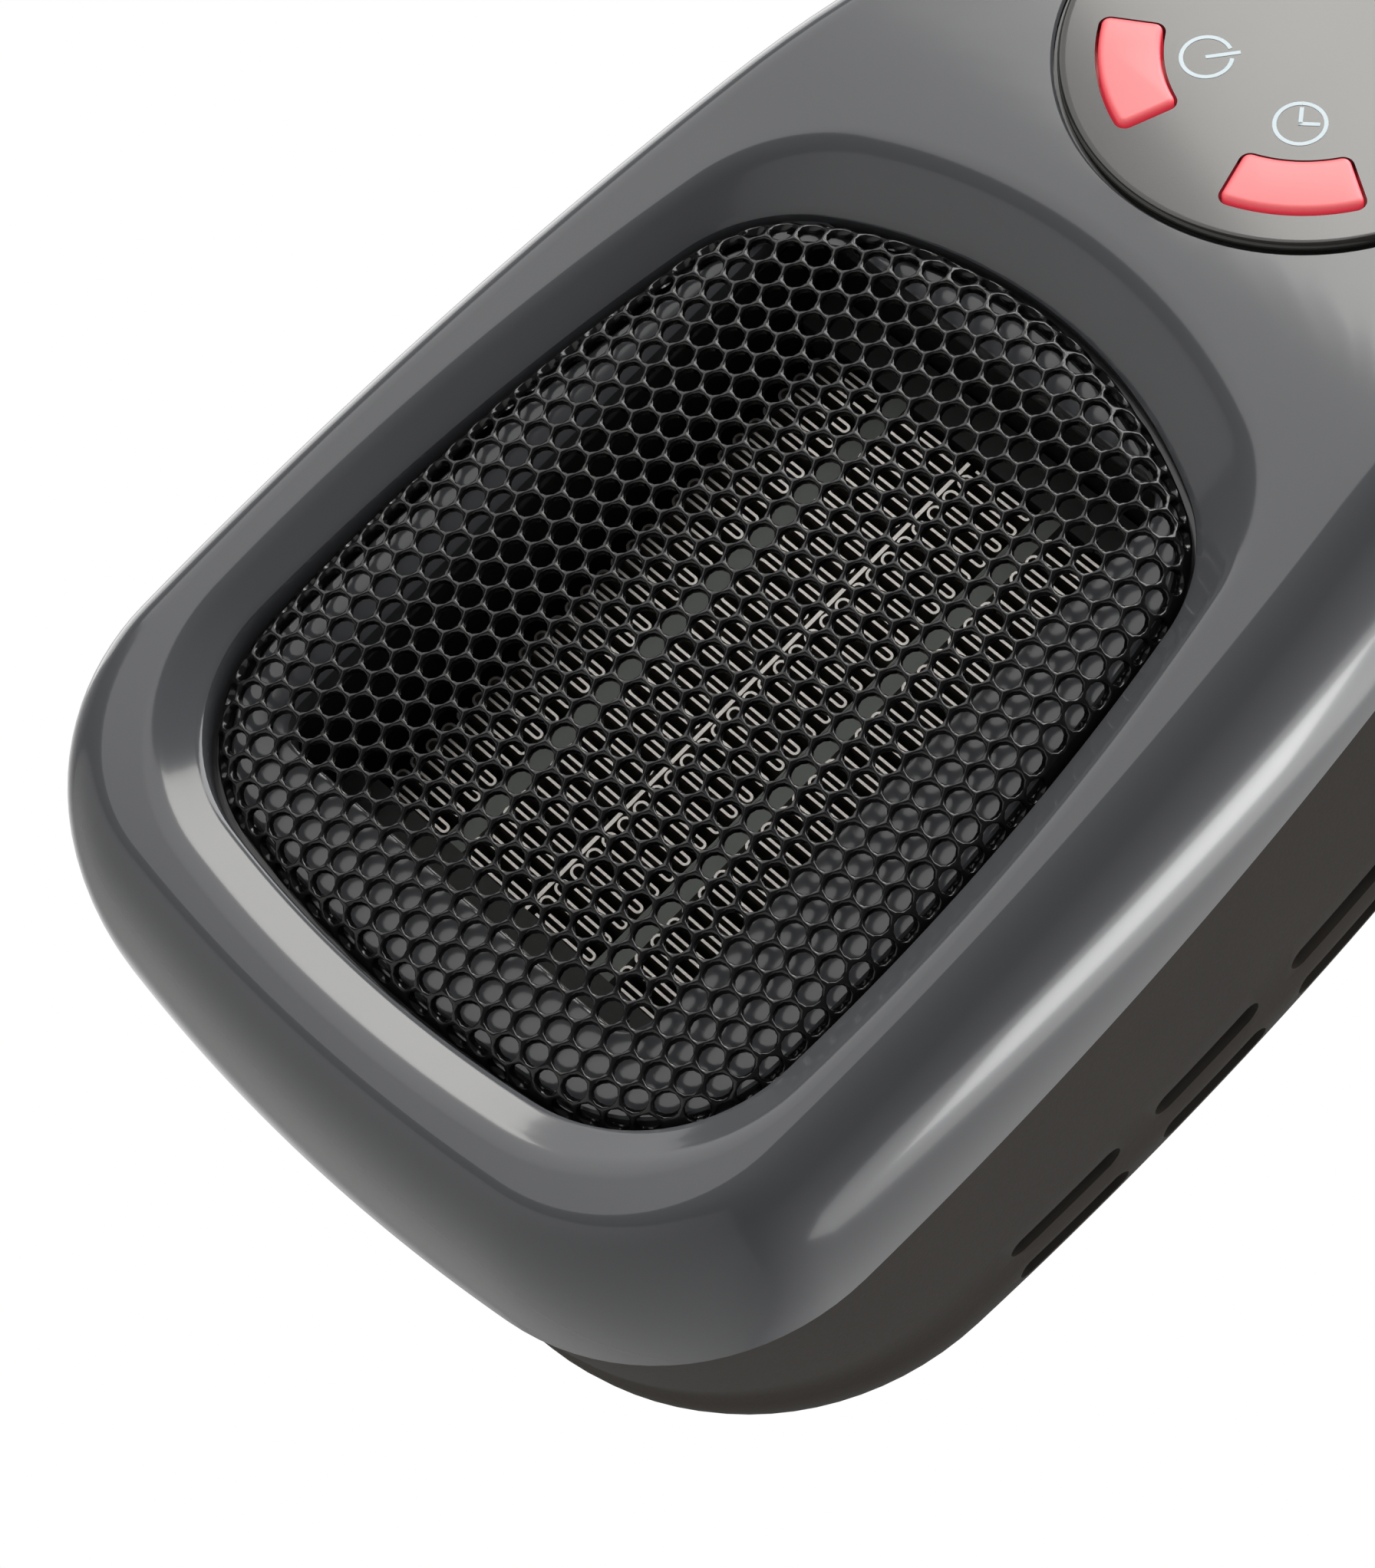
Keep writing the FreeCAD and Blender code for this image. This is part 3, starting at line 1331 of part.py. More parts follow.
def heater_lead(name, across):
    """A wire up from a strip's terminal and back to the power board."""
    body = new_body(name)
    path = Drawing(body, f"{name}_path", "YZ_Plane", across)
    bend_start = TAB_TOP + size.lead_rise
    path.polygon([(STACK_MIDDLE, TAB_TOP), (STACK_MIDDLE, bend_start),
                  (STACK_MIDDLE + size.lead_bend, bend_start + size.lead_bend),
                  (POWER_FRONT, bend_start + size.lead_bend)],
                 bends={1: -size.lead_bend}, closed=False)
    section = Drawing(body, f"{name}_section", "XY_Plane", TAB_TOP)
    section.circle(across, STACK_MIDDLE, size.lead_radius)
    wire = body.newObject("PartDesign::AdditivePipe", f"{name}_wire")
    wire.Profile = section.sketch
    wire.Spine = path.sketch
    return body


def heater_leads():
    return group("heater_leads", [heater_lead("lead_left", HEATER_X - STRIP_MIDDLE),
                                  heater_lead("lead_right", HEATER_X + STRIP_MIDDLE)])


def plug_base():
    """The swivelling plug: a flange inside the shell and a round body with two key notches."""
    body = new_body("plug_base")
    profile = Drawing(body, "Profile", "XY_Plane")
    profile.polygon([(0, FLANGE_FRONT), (size.flange_radius, FLANGE_FRONT), (size.flange_radius, FLANGE_BACK),
                     (size.plug_radius, FLANGE_BACK), (size.plug_radius, -size.plug_chamfer),
                     (size.plug_radius - size.plug_chamfer, 0), (0, 0)])
    turned = body.newObject("PartDesign::Revolution", "Turned")
    turned.Profile = profile.sketch
    turned.ReferenceAxis = (profile.sketch, ["V_Axis"])
    holes = Drawing(body, "PinHoles", "XZ_Plane")
    for across in (-size.pin_spacing / 2, size.pin_spacing / 2):
        holes.circle(across, 0, size.pin_shank_radius + size.pin_gap)
    extrude("Pocket", holes, "PinHoleCuts", size.body_depth * 2, both_ways=True)
    recesses = Drawing(body, "PinRecesses", "XZ_Plane")
    for across in (-size.pin_spacing / 2, size.pin_spacing / 2):
        recesses.circle(across, 0, size.pin_radius + size.pin_recess_gap)
    extrude("Pocket", recesses, "PinRecessCuts", size.pin_recess, backward=True)
    keys = Drawing(body, "Keys", "XZ_Plane")
    half, low, high = size.key_width / 2, size.plug_radius - size.key_depth, size.plug_radius + size.wall
    keys.polygon([(-half, low), (half, low), (half, high), (-half, high)])
    keys.polygon([(-half, -high), (half, -high), (half, -low), (-half, -low)])
    body.Tip = extrude("Pocket", keys, "KeyCuts", size.plug_reach - size.wall, backward=True)
    return body


def plug_pin(name, across):
    """A round pin whose thinner shank runs through the plug's body."""
    body = new_body(name)
    inner = Drawing(body, "ShankSection", "XZ_Plane", -FLANGE_FRONT)
    inner.circle(across, 0, size.pin_shank_radius)
    extrude("Pad", inner, "Shank", -FLANGE_FRONT, backward=True)
    section = Drawing(body, "Section", "XZ_Plane")
    section.circle(across, 0, size.pin_radius)
    bar = extrude("Pad", section, "Bar", size.pin_length, backward=True)
    fillet(body, bar, "Tip", size.pin_round, level(AXIS_Y, value(size.pin_length)))
    return body


def contact_ring(name, inner, tab_low, tab_high):
    """A brass ring on the plug's inner face, with a tab over its pin."""
    ring = tube(f"{name}_ring", inner + size.contact_width, inner, 0, 0, CONTACT_FRONT, FLANGE_FRONT)
    half = size.contact_tab / 2
    tab = slab(f"{name}_tab", (tab_low, CONTACT_FRONT, -half), (tab_high, FLANGE_FRONT, half))
    return fuse(name, ring, tab)


def contact_spring(name, across):
    """A bent leaf from the power board that wipes one of the plug's rings."""
    body = new_body(name)
    side = Drawing(body, "Side", "YZ_Plane", across)
    tip = CONTACT_FRONT - size.spring_gap
    wall = size.spring_wall
    foot_low, foot_high = -size.power_board_fall + size.wall, -size.spring_foot
    reach = size.spring_width / 2
    side.polygon([(POWER_BACK, foot_low), (POWER_BACK, foot_high), (tip - wall, -reach), (tip - wall, reach),
                  (tip, reach), (tip, -reach - wall), (POWER_BACK + wall, foot_high - wall),
                  (POWER_BACK + wall, foot_low)])
    extrude("Pad", side, "Leaf", size.spring_width, both_ways=True)
    return body


def plug_retainer():
    """The ring that traps the plug's flange against the shell."""
    ring = tube("retainer_ring", size.retainer_circle + size.retainer_boss, size.retainer_bore, 0, 0,
                RETAINER_FRONT, RETAINER_BACK)
    holes = [rod(f"retainer_hole_{index}", size.screw_radius + size.screw_gap, across, up,
                 RETAINER_FRONT - size.wall, RETAINER_BACK + size.wall)
             for index, (across, up) in enumerate(retainer_points(), start=1)]
    return cut("plug_retainer", ring, *holes)


def contact_pieces():
    tab_half = size.pin_spacing / 2
    return [
        contact_ring("live_contact_ring", size.live_ring_radius, -size.live_ring_radius - size.contact_wall,
                     size.pin_radius - tab_half),
        contact_ring("neutral_contact_ring", size.neutral_ring_radius,
                     size.neutral_ring_radius + size.contact_width - size.contact_wall,
                     tab_half + size.pin_radius),
        contact_spring("live_contact_spring", -size.live_ring_radius - size.contact_width / 2),
        contact_spring("neutral_contact_spring", size.neutral_ring_radius + size.contact_width / 2),
    ]


def all_screws():
    plain = (size.screw_length, size.screw_radius, size.screw_head_radius, size.screw_head)
    fan_points = [(HEATER_X + across, HEATER_Z + up) for across, up in bracket_points()]
    motor_points = [(HEATER_X + across, HEATER_Z)
                    for across in (-size.motor_screw_circle, size.motor_screw_circle)]
    return [
        screws("case_screws", case_points(), CASE_SEAT, True, size.case_screw_length, size.case_screw_radius,
               size.case_screw_head_radius, size.case_screw_head),
        screws("duct_screws", duct_points(), EAR_FRONT + size.ear_wall, True, *plain),
        screws("bracket_screws", fan_points, BRACKET_BACK, True, *plain),
        screws("power_board_screws", stud_points(), POWER_FRONT, False, *plain),
        screws("retainer_screws", retainer_points(), RETAINER_FRONT, False, *plain),
        screws("motor_screws", motor_points, RING_END, False, size.board_screw_length,
               size.board_screw_radius, size.board_screw_radius * 2, size.board_screw_radius / 2),
    ]


def make_pieces():
    pieces = [front_bezel(), rear_shell(), grille(), control_disc()]
    pieces += [button(name, angle) for name, angle in BUTTON_ANGLES.items()]
    pieces += [control_board(), board_screws(), tact_switches(), display_module()]
    pieces += heater_pieces()
    pieces += [heater_duct(), thermal_cutout(), fan_impeller(), motor_shaft(), motor_bracket(), motor()]
    pieces += [power_board(), *power_parts(), heater_leads()]
    pieces += [plug_base(), plug_pin("live_pin", -size.pin_spacing / 2),
               plug_pin("neutral_pin", size.pin_spacing / 2)]
    pieces += [plug_retainer(), *contact_pieces(), *all_screws()]
    return pieces


def write(pieces):
    """Checks every object of the document, then writes each piece."""
    doc.recompute()
    for each in doc.Objects:
        if "Invalid" in each.State or "Error" in each.State:
            raise RuntimeError(f"{each.Label} failed: {each.getStatusString()}")
    for piece in pieces:
        if piece.Shape.isNull() or not piece.Shape.isValid() or not piece.Shape.Solids:
            raise RuntimeError(f"{piece.Label} is not a valid solid")
    os.makedirs("parts", exist_ok=True)
    for piece in pieces:
        piece.Shape.exportStep(f"parts/{piece.Label}.step")
        print(f"{piece.Label}: {len(piece.Shape.Solids)} solids, {piece.Shape.Volume:.1f} mm3")


write(make_pieces())
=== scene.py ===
import logging
import math
from dataclasses import astuple, dataclass, field
from enum import Enum
from typing import Callable, Optional, Sequence, Union

import bmesh
import bpy
from bmesh.types import BMEdge, BMesh, BMVert
from bpy.types import Object
from mathutils import Matrix, Vector


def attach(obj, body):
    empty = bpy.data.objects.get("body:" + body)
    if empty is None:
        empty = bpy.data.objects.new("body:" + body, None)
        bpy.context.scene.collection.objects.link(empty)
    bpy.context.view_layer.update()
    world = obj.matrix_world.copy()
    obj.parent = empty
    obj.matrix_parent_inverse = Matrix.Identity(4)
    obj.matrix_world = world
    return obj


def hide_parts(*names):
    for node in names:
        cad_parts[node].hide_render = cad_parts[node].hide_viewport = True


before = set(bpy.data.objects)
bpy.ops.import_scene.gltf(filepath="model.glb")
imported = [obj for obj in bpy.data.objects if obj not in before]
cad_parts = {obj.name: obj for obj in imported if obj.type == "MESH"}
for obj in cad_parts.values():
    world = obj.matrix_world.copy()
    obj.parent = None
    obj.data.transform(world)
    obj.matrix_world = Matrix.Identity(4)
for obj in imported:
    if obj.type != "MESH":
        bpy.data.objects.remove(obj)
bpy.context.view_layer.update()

Colour = tuple[float, float, float]
Spot = tuple[float, float, float]
Plan = tuple[float, float]
Number = Union[float, "Signal"]
Tint = Union[Colour, "Signal"]

LOG = logging.getLogger("plug_in_fan_heater")
MM = 0.001
FRONT_Y = -88.0
PANEL_TILT = math.radians(9.5)
WHITE: Colour = (1.0, 1.0, 1.0)
BLACK: Colour = (0.0, 0.0, 0.0)


def from_srgb(red: int, green: int, blue: int) -> Colour:
    """Turns an eight-bit screen colour into a linear one.

    Args:
        red: Red, 0 to 255.
        green: Green, 0 to 255.
        blue: Blue, 0 to 255.

    Returns:
        The linear colour.
    """
    def linear(level: int) -> float:
        """One channel."""
        share = level / 255
        return share / 12.92 if share <= 0.04045 else ((share + 0.055) / 1.055) ** 2.4
    return linear(red), linear(green), linear(blue)


class Signal:
    """A shader socket whose arithmetic adds Math nodes."""

    def __init__(self, graph: "Graph", socket: bpy.types.NodeSocket) -> None:
        """Wraps one output socket."""
        self.graph = graph
        self.socket = socket

    def _math(self, operation: str, first: Number, second: Number) -> "Signal":
        """Adds one Math node and gives its result."""
        node = self.graph.node("ShaderNodeMath", {"operation": operation}, {0: first, 1: second})
        return Signal(self.graph, node.outputs[0])

    def __add__(self, other: Number) -> "Signal":
        """self + other."""
        return self._math("ADD", self, other)

    def __radd__(self, other: Number) -> "Signal":
        """other + self."""
        return self._math("ADD", other, self)

    def __sub__(self, other: Number) -> "Signal":
        """self - other."""
        return self._math("SUBTRACT", self, other)

    def __rsub__(self, other: Number) -> "Signal":
        """other - self."""
        return self._math("SUBTRACT", other, self)

    def __mul__(self, other: Number) -> "Signal":
        """self * other."""
        return self._math("MULTIPLY", self, other)

    def __rmul__(self, other: Number) -> "Signal":
        """other * self."""
        return self._math("MULTIPLY", other, self)

    def __pow__(self, other: Number) -> "Signal":
        """self ** other."""
        return self._math("POWER", self, other)

    def above(self, limit: Number) -> "Signal":
        """1 where the value passes a limit, else 0."""
        return self._math("GREATER_THAN", self, limit)

    def larger(self, other: Number) -> "Signal":
        """The larger of two values."""
        return self._math("MAXIMUM", self, other)

    def smaller(self, other: Number) -> "Signal":
        """The smaller of two values."""
        return self._math("MINIMUM", self, other)


class Graph:
    """One node tree, with short ways to add what the finishes need."""

    def __init__(self, tree: bpy.types.NodeTree) -> None:
        """Empties a tree."""
        self.tree = tree
        tree.nodes.clear()

    def node(self, kind: str, settings: Optional[dict] = None,
             sockets: Optional[dict] = None) -> bpy.types.Node:
        """Adds any node.

        Args:
            kind: The node's type.
            settings: Its properties, which are set first.
            sockets: Values or Signals for its inputs, by name or number.

        Returns:
            The new node.
        """
        node = self.tree.nodes.new(kind)
        for key, setting in (settings or {}).items():
            setattr(node, key, setting)
        for key, entry in (sockets or {}).items():
            if isinstance(entry, Signal):
                self.tree.links.new(entry.socket, node.inputs[key])
            else:
                node.inputs[key].default_value = entry
        return node

    def out(self, node: bpy.types.Node, key: Union[str, int] = 0) -> Signal:
        """An output of a node as a Signal."""
        return Signal(self, node.outputs[key])

    def place(self) -> Signal:
        """The surface point in the object's own coordinates."""
        return self.out(self.node("ShaderNodeTexCoord"), "Object")

    def noise(self, scale: float, detail: float, stretch: Optional[Spot] = None) -> Signal:
        """Soft noise from 0 to 1.

        Args:
            scale: Lumps in a metre.
            detail: Octaves.
            stretch: Scale along each axis, for a grain with a direction.

        Returns:
            The noise value.
        """
        where = self.place()
        if stretch is not None:
            where = self.out(self.node("ShaderNodeMapping", None, {
                "Vector": where, "Scale": stretch}))
        return self.out(self.node("ShaderNodeTexNoise", None, {
            "Vector": where, "Scale": scale, "Detail": detail}))

    def mix(self, share: Number, first: Tint, second: Tint) -> Signal:
        """Mixes two colours.

        Args:
            share: How much of the second colour there is, 0 to 1.
            first: The colour at 0.
            second: The colour at 1.

        Returns:
            The mixed colour.
        """
        tints = [tint if isinstance(tint, Signal) else (*tint, 1) for tint in (first, second)]
        node = self.node("ShaderNodeMix", {"data_type": "RGBA"}, {0: share, 6: tints[0], 7: tints[1]})
        return self.out(node, 2)

    def bump(self, height: Signal, depth: float, strength: float) -> Signal:
        """A normal bent by a height pattern of a given depth in metres."""
        return self.out(self.node("ShaderNodeBump", None, {
            "Height": height, "Distance": depth, "Strength": strength}))


class Grain(Enum):
    """How a finish varies over its surface."""
    SMOOTH = "smooth"
    SPARK = "spark eroded"
    BRUSHED = "brushed"
    BOARD = "printed board"


@dataclass(frozen=True)
class Finish:
    """A material: two colours that mingle, a range of roughness and a surface grain."""
    name: str
    colour: Colour
    shade: Colour
    rough: tuple[float, float]
    grain: Grain = Grain.SMOOTH
    grain_scale: float = 900.0
    grain_depth: float = 0.00002
    metallic: float = 0.0
    coat: float = 0.0
    specular: float = 0.5
    cloud_scale: float = 70.0
    bump_strength: float = 0.6
    brush_stretch: Spot = (1.0, 0.03, 1.0)
    pad_radius: float = 0.16
    pad_colour: Colour = (0.55, 0.55, 0.52)

    def material(self) -> bpy.types.Material:
        """Builds the material, or gives the one already built.

        Returns:
            The material.
        """
        found = bpy.data.materials.get(self.name)
        if found:
            return found
        material = bpy.data.materials.new(self.name)
        material.use_nodes = True
        graph = Graph(material.node_tree)
        colour, rough, normal = self.surface(graph)
        shader = graph.node("ShaderNodeBsdfPrincipled", None, {
            "Base Color": colour, "Roughness": rough, "Metallic": self.metallic,
            "Coat Weight": self.coat, "Coat Roughness": 0.06,
            "Specular IOR Level": self.specular, "Normal": normal, **self.painted_glow(graph)})
        graph.node("ShaderNodeOutputMaterial", None, {"Surface": graph.out(shader)})
        return material

    def painted_glow(self, graph: Graph) -> dict[str, object]:
        """Shader inputs for painted light given off by the piece, standing in for light through it:
        none for most.
        """
        return {}

    def surface(self, graph: Graph) -> tuple[Signal, Signal, Signal]:
        """Colour, roughness and normal of the surface.

        Args:
            graph: The material's node graph.

        Returns:
            The three signals.
        """
        clouds = graph.noise(self.cloud_scale, 4.0)
        colour = graph.mix(clouds, self.colour, self.shade)
        low, high = self.rough
        if self.grain is Grain.BRUSHED:
            pattern = graph.noise(self.grain_scale, 4.0, self.brush_stretch)
        elif self.grain is Grain.SPARK:
            pattern = graph.noise(self.grain_scale, 2.0)
        else:
            pattern = graph.noise(self.grain_scale, 2.0) * 0.5 + clouds * 0.5
        if self.grain is Grain.BOARD:
            colour = self._tracks(graph, colour)
        rough = low + pattern * (high - low)
        return colour, rough, graph.bump(pattern, self.grain_depth, self.bump_strength)

    def _tracks(self, graph: Graph, ground: Signal) -> Signal:
        """Copper tracks under a board's resist, and tinned pads.

        Args:
            graph: The material's node graph.
            ground: The resist's colour.

        Returns:
            The colour with tracks and pads.
        """
        bricks = graph.node("ShaderNodeTexBrick", {"offset": 0.35, "squash": 1.4}, {
            "Vector": graph.place(), "Scale": 160.0, "Mortar Size": 0.012, "Brick Width": 1.3,
            "Row Height": 0.35})
        cells = graph.node("ShaderNodeTexVoronoi", {"feature": "F1"}, {
            "Vector": graph.place(), "Scale": 210.0})
        pad = 1 - graph.out(cells, "Distance").above(self.pad_radius)
        lighter = tuple(min(1.0, level * 2.2) for level in self.colour)
        tracked = graph.mix(graph.out(bricks, 1) * 0.6, ground, lighter)
        return graph.mix(pad * 0.8, tracked, self.pad_colour)


@dataclass(frozen=True)
class ButtonFinish(Finish):
    """Tinted button plastic with painted light: its sides get a deeper red and give off painted
    light, standing in for light through the plastic.
    """
    # Painted light: the sides' deeper red and the light they give off stand in for light passing
    # through the plastic.
    side: Colour = (0.75, 0.05, 0.08)
    painted_side_glow: float = 0.38
    facing: Spot = (0.0, -math.cos(PANEL_TILT), math.sin(PANEL_TILT))

    def flatness(self, graph: Graph) -> Signal:
        """How squarely the surface faces the front of the panel.

        Args:
            graph: The material's node graph.

        Returns:
            One on the face, and nought where the surface has turned away.
        """
        turn = graph.node("ShaderNodeVectorMath", {"operation": "DOT_PRODUCT"}, {
            0: graph.out(graph.node("ShaderNodeTexCoord"), "Normal"), 1: self.facing})
        return graph.out(turn, "Value").larger(0.0) ** 2.0

    def surface(self, graph: Graph) -> tuple[Signal, Signal, Signal]:
        """Colour by how far the surface turns from the panel, with a soft mottle; the sides' deeper
        red is painted light.
        """
        colour, rough, normal = super().surface(graph)
        return graph.mix(self.flatness(graph), self.side, colour), rough, normal

    def painted_glow(self, graph: Graph) -> dict[str, object]:
        """Painted light given off by the sides, standing in for light that enters the face and leaves
        through the sides.
        """
        return {"Emission Color": graph.mix(self.flatness(graph), self.side, BLACK),
                "Emission Strength": self.painted_side_glow}


@dataclass(frozen=True)
class FloorFinish(Finish):
    """Floor paint that the camera sees paler than the heater does."""
    pale: Colour = (0.82, 0.82, 0.81)

    def surface(self, graph: Graph) -> tuple[Signal, Signal, Signal]:
        """The paint, with its paler colour for the camera.

        Args:
            graph: The material's node graph.

        Returns:
            Colour, roughness and normal.
        """
        colour, rough, normal = super().surface(graph)
        seen = graph.out(graph.node("ShaderNodeLightPath"), "Is Camera Ray")
        return graph.mix(seen, colour, self.pale), rough, normal


class Palette:
    """Every finish of the heater, and the floor's paint."""
    BEZEL = Finish("bezel_gloss_grey", from_srgb(79, 80, 83), from_srgb(76, 77, 80), (0.12, 0.18),
                   grain_scale=260.0, grain_depth=0.000006, coat=0.25)
    SHELL = Finish("shell_satin_dark", from_srgb(66, 62, 58), from_srgb(60, 56, 53), (0.6, 0.75),
                   Grain.SPARK, 2600.0, 0.00003, specular=0.05)
    GRILLE = Finish("grille_black_enamel", from_srgb(9, 9, 10), from_srgb(14, 13, 13), (0.14, 0.22),
                    grain_scale=700.0, grain_depth=0.000008, coat=0.15)
    DISC = Finish("disc_lacquer", from_srgb(38, 37, 35), from_srgb(34, 33, 31), (0.1, 0.14),
                  grain_scale=120.0, grain_depth=0.000003, coat=0.5)
    # Painted light: the coral buttons' sides get a deeper red and give off light, standing in for
    # light through the plastic.
    CORAL = ButtonFinish("button_coral", from_srgb(255, 130, 132), from_srgb(253, 122, 126),
                         (0.28, 0.36), grain_scale=400.0, grain_depth=0.000006,
                         side=from_srgb(240, 66, 82))
    INK = Finish("icon_ink", from_srgb(208, 221, 226), from_srgb(197, 211, 217), (0.4, 0.5),
                 grain_scale=1500.0)
    STRIP = Finish("strip_grey_coat", from_srgb(122, 126, 121), from_srgb(108, 112, 108),
                   (0.45, 0.6), Grain.SPARK, 1800.0, 0.00002)
    FIN = Finish("fin_aluminium", (0.86, 0.82, 0.77), (0.76, 0.72, 0.67), (0.24, 0.4),
                 Grain.BRUSHED, 1500.0, 0.00001, metallic=1.0)
    BLOCK = Finish("holder_heat_proof", from_srgb(60, 60, 58), from_srgb(48, 48, 47), (0.5, 0.7),
                   Grain.SPARK, 1500.0, 0.00004)
    DUCT = Finish("duct_black", from_srgb(26, 26, 26), from_srgb(18, 18, 18), (0.4, 0.55),
                  Grain.SPARK, 1800.0, 0.00003)
    FAN = Finish("fan_black", from_srgb(34, 34, 35), from_srgb(26, 26, 27), (0.35, 0.5),
                 Grain.SPARK, 1600.0, 0.00002)
    ZINC = Finish("motor_zinc", (0.62, 0.62, 0.63), (0.5, 0.5, 0.52), (0.3, 0.45),
                  Grain.BRUSHED, 1200.0, 0.00001, metallic=1.0)
    STEEL = Finish("screw_steel", (0.66, 0.66, 0.67), (0.55, 0.55, 0.56), (0.25, 0.4),
                   Grain.BRUSHED, 2200.0, 0.00001, metallic=1.0)
    BOARD = Finish("board_green", from_srgb(24, 88, 52), from_srgb(18, 74, 44), (0.3, 0.45),
                   Grain.BOARD, 900.0, 0.00002)
    MOULDING = Finish("component_moulding", from_srgb(44, 44, 47), from_srgb(34, 34, 37),
                      (0.45, 0.6), Grain.SPARK, 1800.0, 0.00003)
    SLEEVE = Finish("lead_sleeve", from_srgb(170, 40, 34), from_srgb(150, 32, 28), (0.4, 0.55),
                    Grain.SPARK, 1400.0, 0.00002)
    NICKEL = Finish("pin_nickel", (0.72, 0.7, 0.66), (0.64, 0.62, 0.58), (0.14, 0.26),
                    Grain.BRUSHED, 1800.0, 0.000008, metallic=1.0)
    BRASS = Finish("contact_brass", (0.83, 0.62, 0.3), (0.74, 0.53, 0.24), (0.22, 0.36),
                   Grain.BRUSHED, 1500.0, 0.00001, metallic=1.0)
    FLOOR = FloorFinish("floor_paint", (0.5, 0.5, 0.49), (0.47, 0.47, 0.46), (0.6, 0.8))


@dataclass(frozen=True)
class Contour:
    """A closed outline of ten tangent arcs, mirrored about its middle, in millimetres."""
    top: float
    bottom: float
    widest: float
    half_width: float
    side: float
    crown: float
    shoulder: float
    base: float
    corner: float
    middle: float = 0.0

    def grown(self, sides: float, above: Optional[float] = None,
              below: Optional[float] = None) -> "Contour":
        """The outline moved out.

        Args:
            sides: Distance at its sides and on every radius.
            above: Distance at its top, if another.
            below: Distance at its bottom, if another.

        Returns:
            The new outline.
        """
        above = sides if above is None else above
        below = sides if below is None else below
        return Contour(self.top + above, self.bottom - below, self.widest, self.half_width + sides,
                       self.side + sides, self.crown + sides, self.shoulder + sides,
                       self.base + sides, self.corner + sides, self.middle)

    def inset(self, gap: float) -> "Contour":
        """The outline moved in by a gap."""
        return self.grown(-gap)

    def towards(self, other: "Contour", share: float) -> "Contour":
        """The outline part of the way to another one."""
        pairs = zip(astuple(self), astuple(other))
        return Contour(*[mine + (theirs - mine) * share for mine, theirs in pairs])

    def left_arcs(self) -> list[tuple[Vector, float, float, float]]:
        """The five arcs of the left half, from the top down.

        Returns:
            Centre, radius, start angle and turn of each arc.
        """
        side = Vector((self.side - self.half_width, self.widest))
        crown = Vector((0.0, self.top - self.crown))
        base = Vector((0.0, self.bottom + self.base))
        shoulder = max(crossings(crown, self.crown - self.shoulder, side, self.side - self.shoulder),
                       key=lambda point: point.y)
        corner = min(crossings(base, self.base - self.corner, side, self.side - self.corner),
                     key=lambda point: point.y)
        stops = [Vector((0.0, self.top)), beyond(crown, shoulder, self.crown),
                 beyond(side, shoulder, self.side), beyond(side, corner, self.side),
                 beyond(base, corner, self.base), Vector((0.0, self.bottom))]
        circles = [(crown, self.crown), (shoulder, self.shoulder), (side, self.side),
                   (corner, self.corner), (base, self.base)]
        arcs = []
        for (centre, radius), start, end in zip(circles, stops, stops[1:]):
            first, last = (math.atan2(p.y - centre.y, p.x - centre.x) for p in (start, end))
            arcs.append((centre, radius, first, (last - first) % math.tau))
        return arcs

    def points(self, steps: Sequence[int]) -> list[Vector]:
        """Points round the outline, anticlockwise from the top.

        Args:
            steps: How many steps each of the five arcs of one half takes.

        Returns:
            The points as (x, z).
        """
        left = []
        for (centre, radius, first, turn), count in zip(self.left_arcs(), steps):
            for step in range(count):
                angle = first + turn * step / count
                left.append(centre + Vector((math.cos(angle), math.sin(angle))) * radius)
        left.append(Vector((0.0, self.bottom)))
        right = [Vector((-point.x, point.y)) for point in reversed(left[1:-1])]
        return [Vector((point.x + self.middle, point.y)) for point in left + right]

    def depth(self, point: Vector) -> tuple[float, Vector]:
        """How deep a point lies inside the outline, and the way out.

        Args:
            point: The point as (x, z).

        Returns:
            Depth, negative outside, and the outward direction.
        """
        mirrored = point.x > self.middle
        local = Vector((-abs(point.x - self.middle), point.y))
        best = None
        for centre, radius, first, turn in self.left_arcs():
            reach = local - centre
            angle = (math.atan2(reach.y, reach.x) - first) % math.tau
            slack = 0.0 if angle <= turn else min(angle - turn, math.tau - angle)
            if best is None or slack < best[0]:
                way = reach.normalized() if reach.length > 1e-9 else Vector((0.0, 1.0))
                best = (slack, radius - reach.length, way)
        way = Vector((-best[2].x, best[2].y)) if mirrored else best[2]
        return best[1], way


def beyond(centre: Vector, through: Vector, radius: float) -> Vector:
    """The point of a circle on the ray from its centre through another point."""
    return centre + (through - centre).normalized() * radius


def crossings(first: Vector, first_radius: float, second: Vector,
              second_radius: float) -> tuple[Vector, Vector]:
    """The two points where two circles cross.

    Args:
        first: Centre of one circle.
        first_radius: Its radius.
        second: Centre of the other circle.
        second_radius: Its radius.

    Returns:
        The point on the left of the way between the centres, and the one on its right.
    """
    gap = second - first
    along = (first_radius ** 2 - second_radius ** 2 + gap.length_squared) / (2 * gap.length)
    across = math.sqrt(first_radius ** 2 - along ** 2)
    way = gap.normalized()
    side = Vector((-way.y, way.x))
    return first + way * along + side * across, first + way * along - side * across


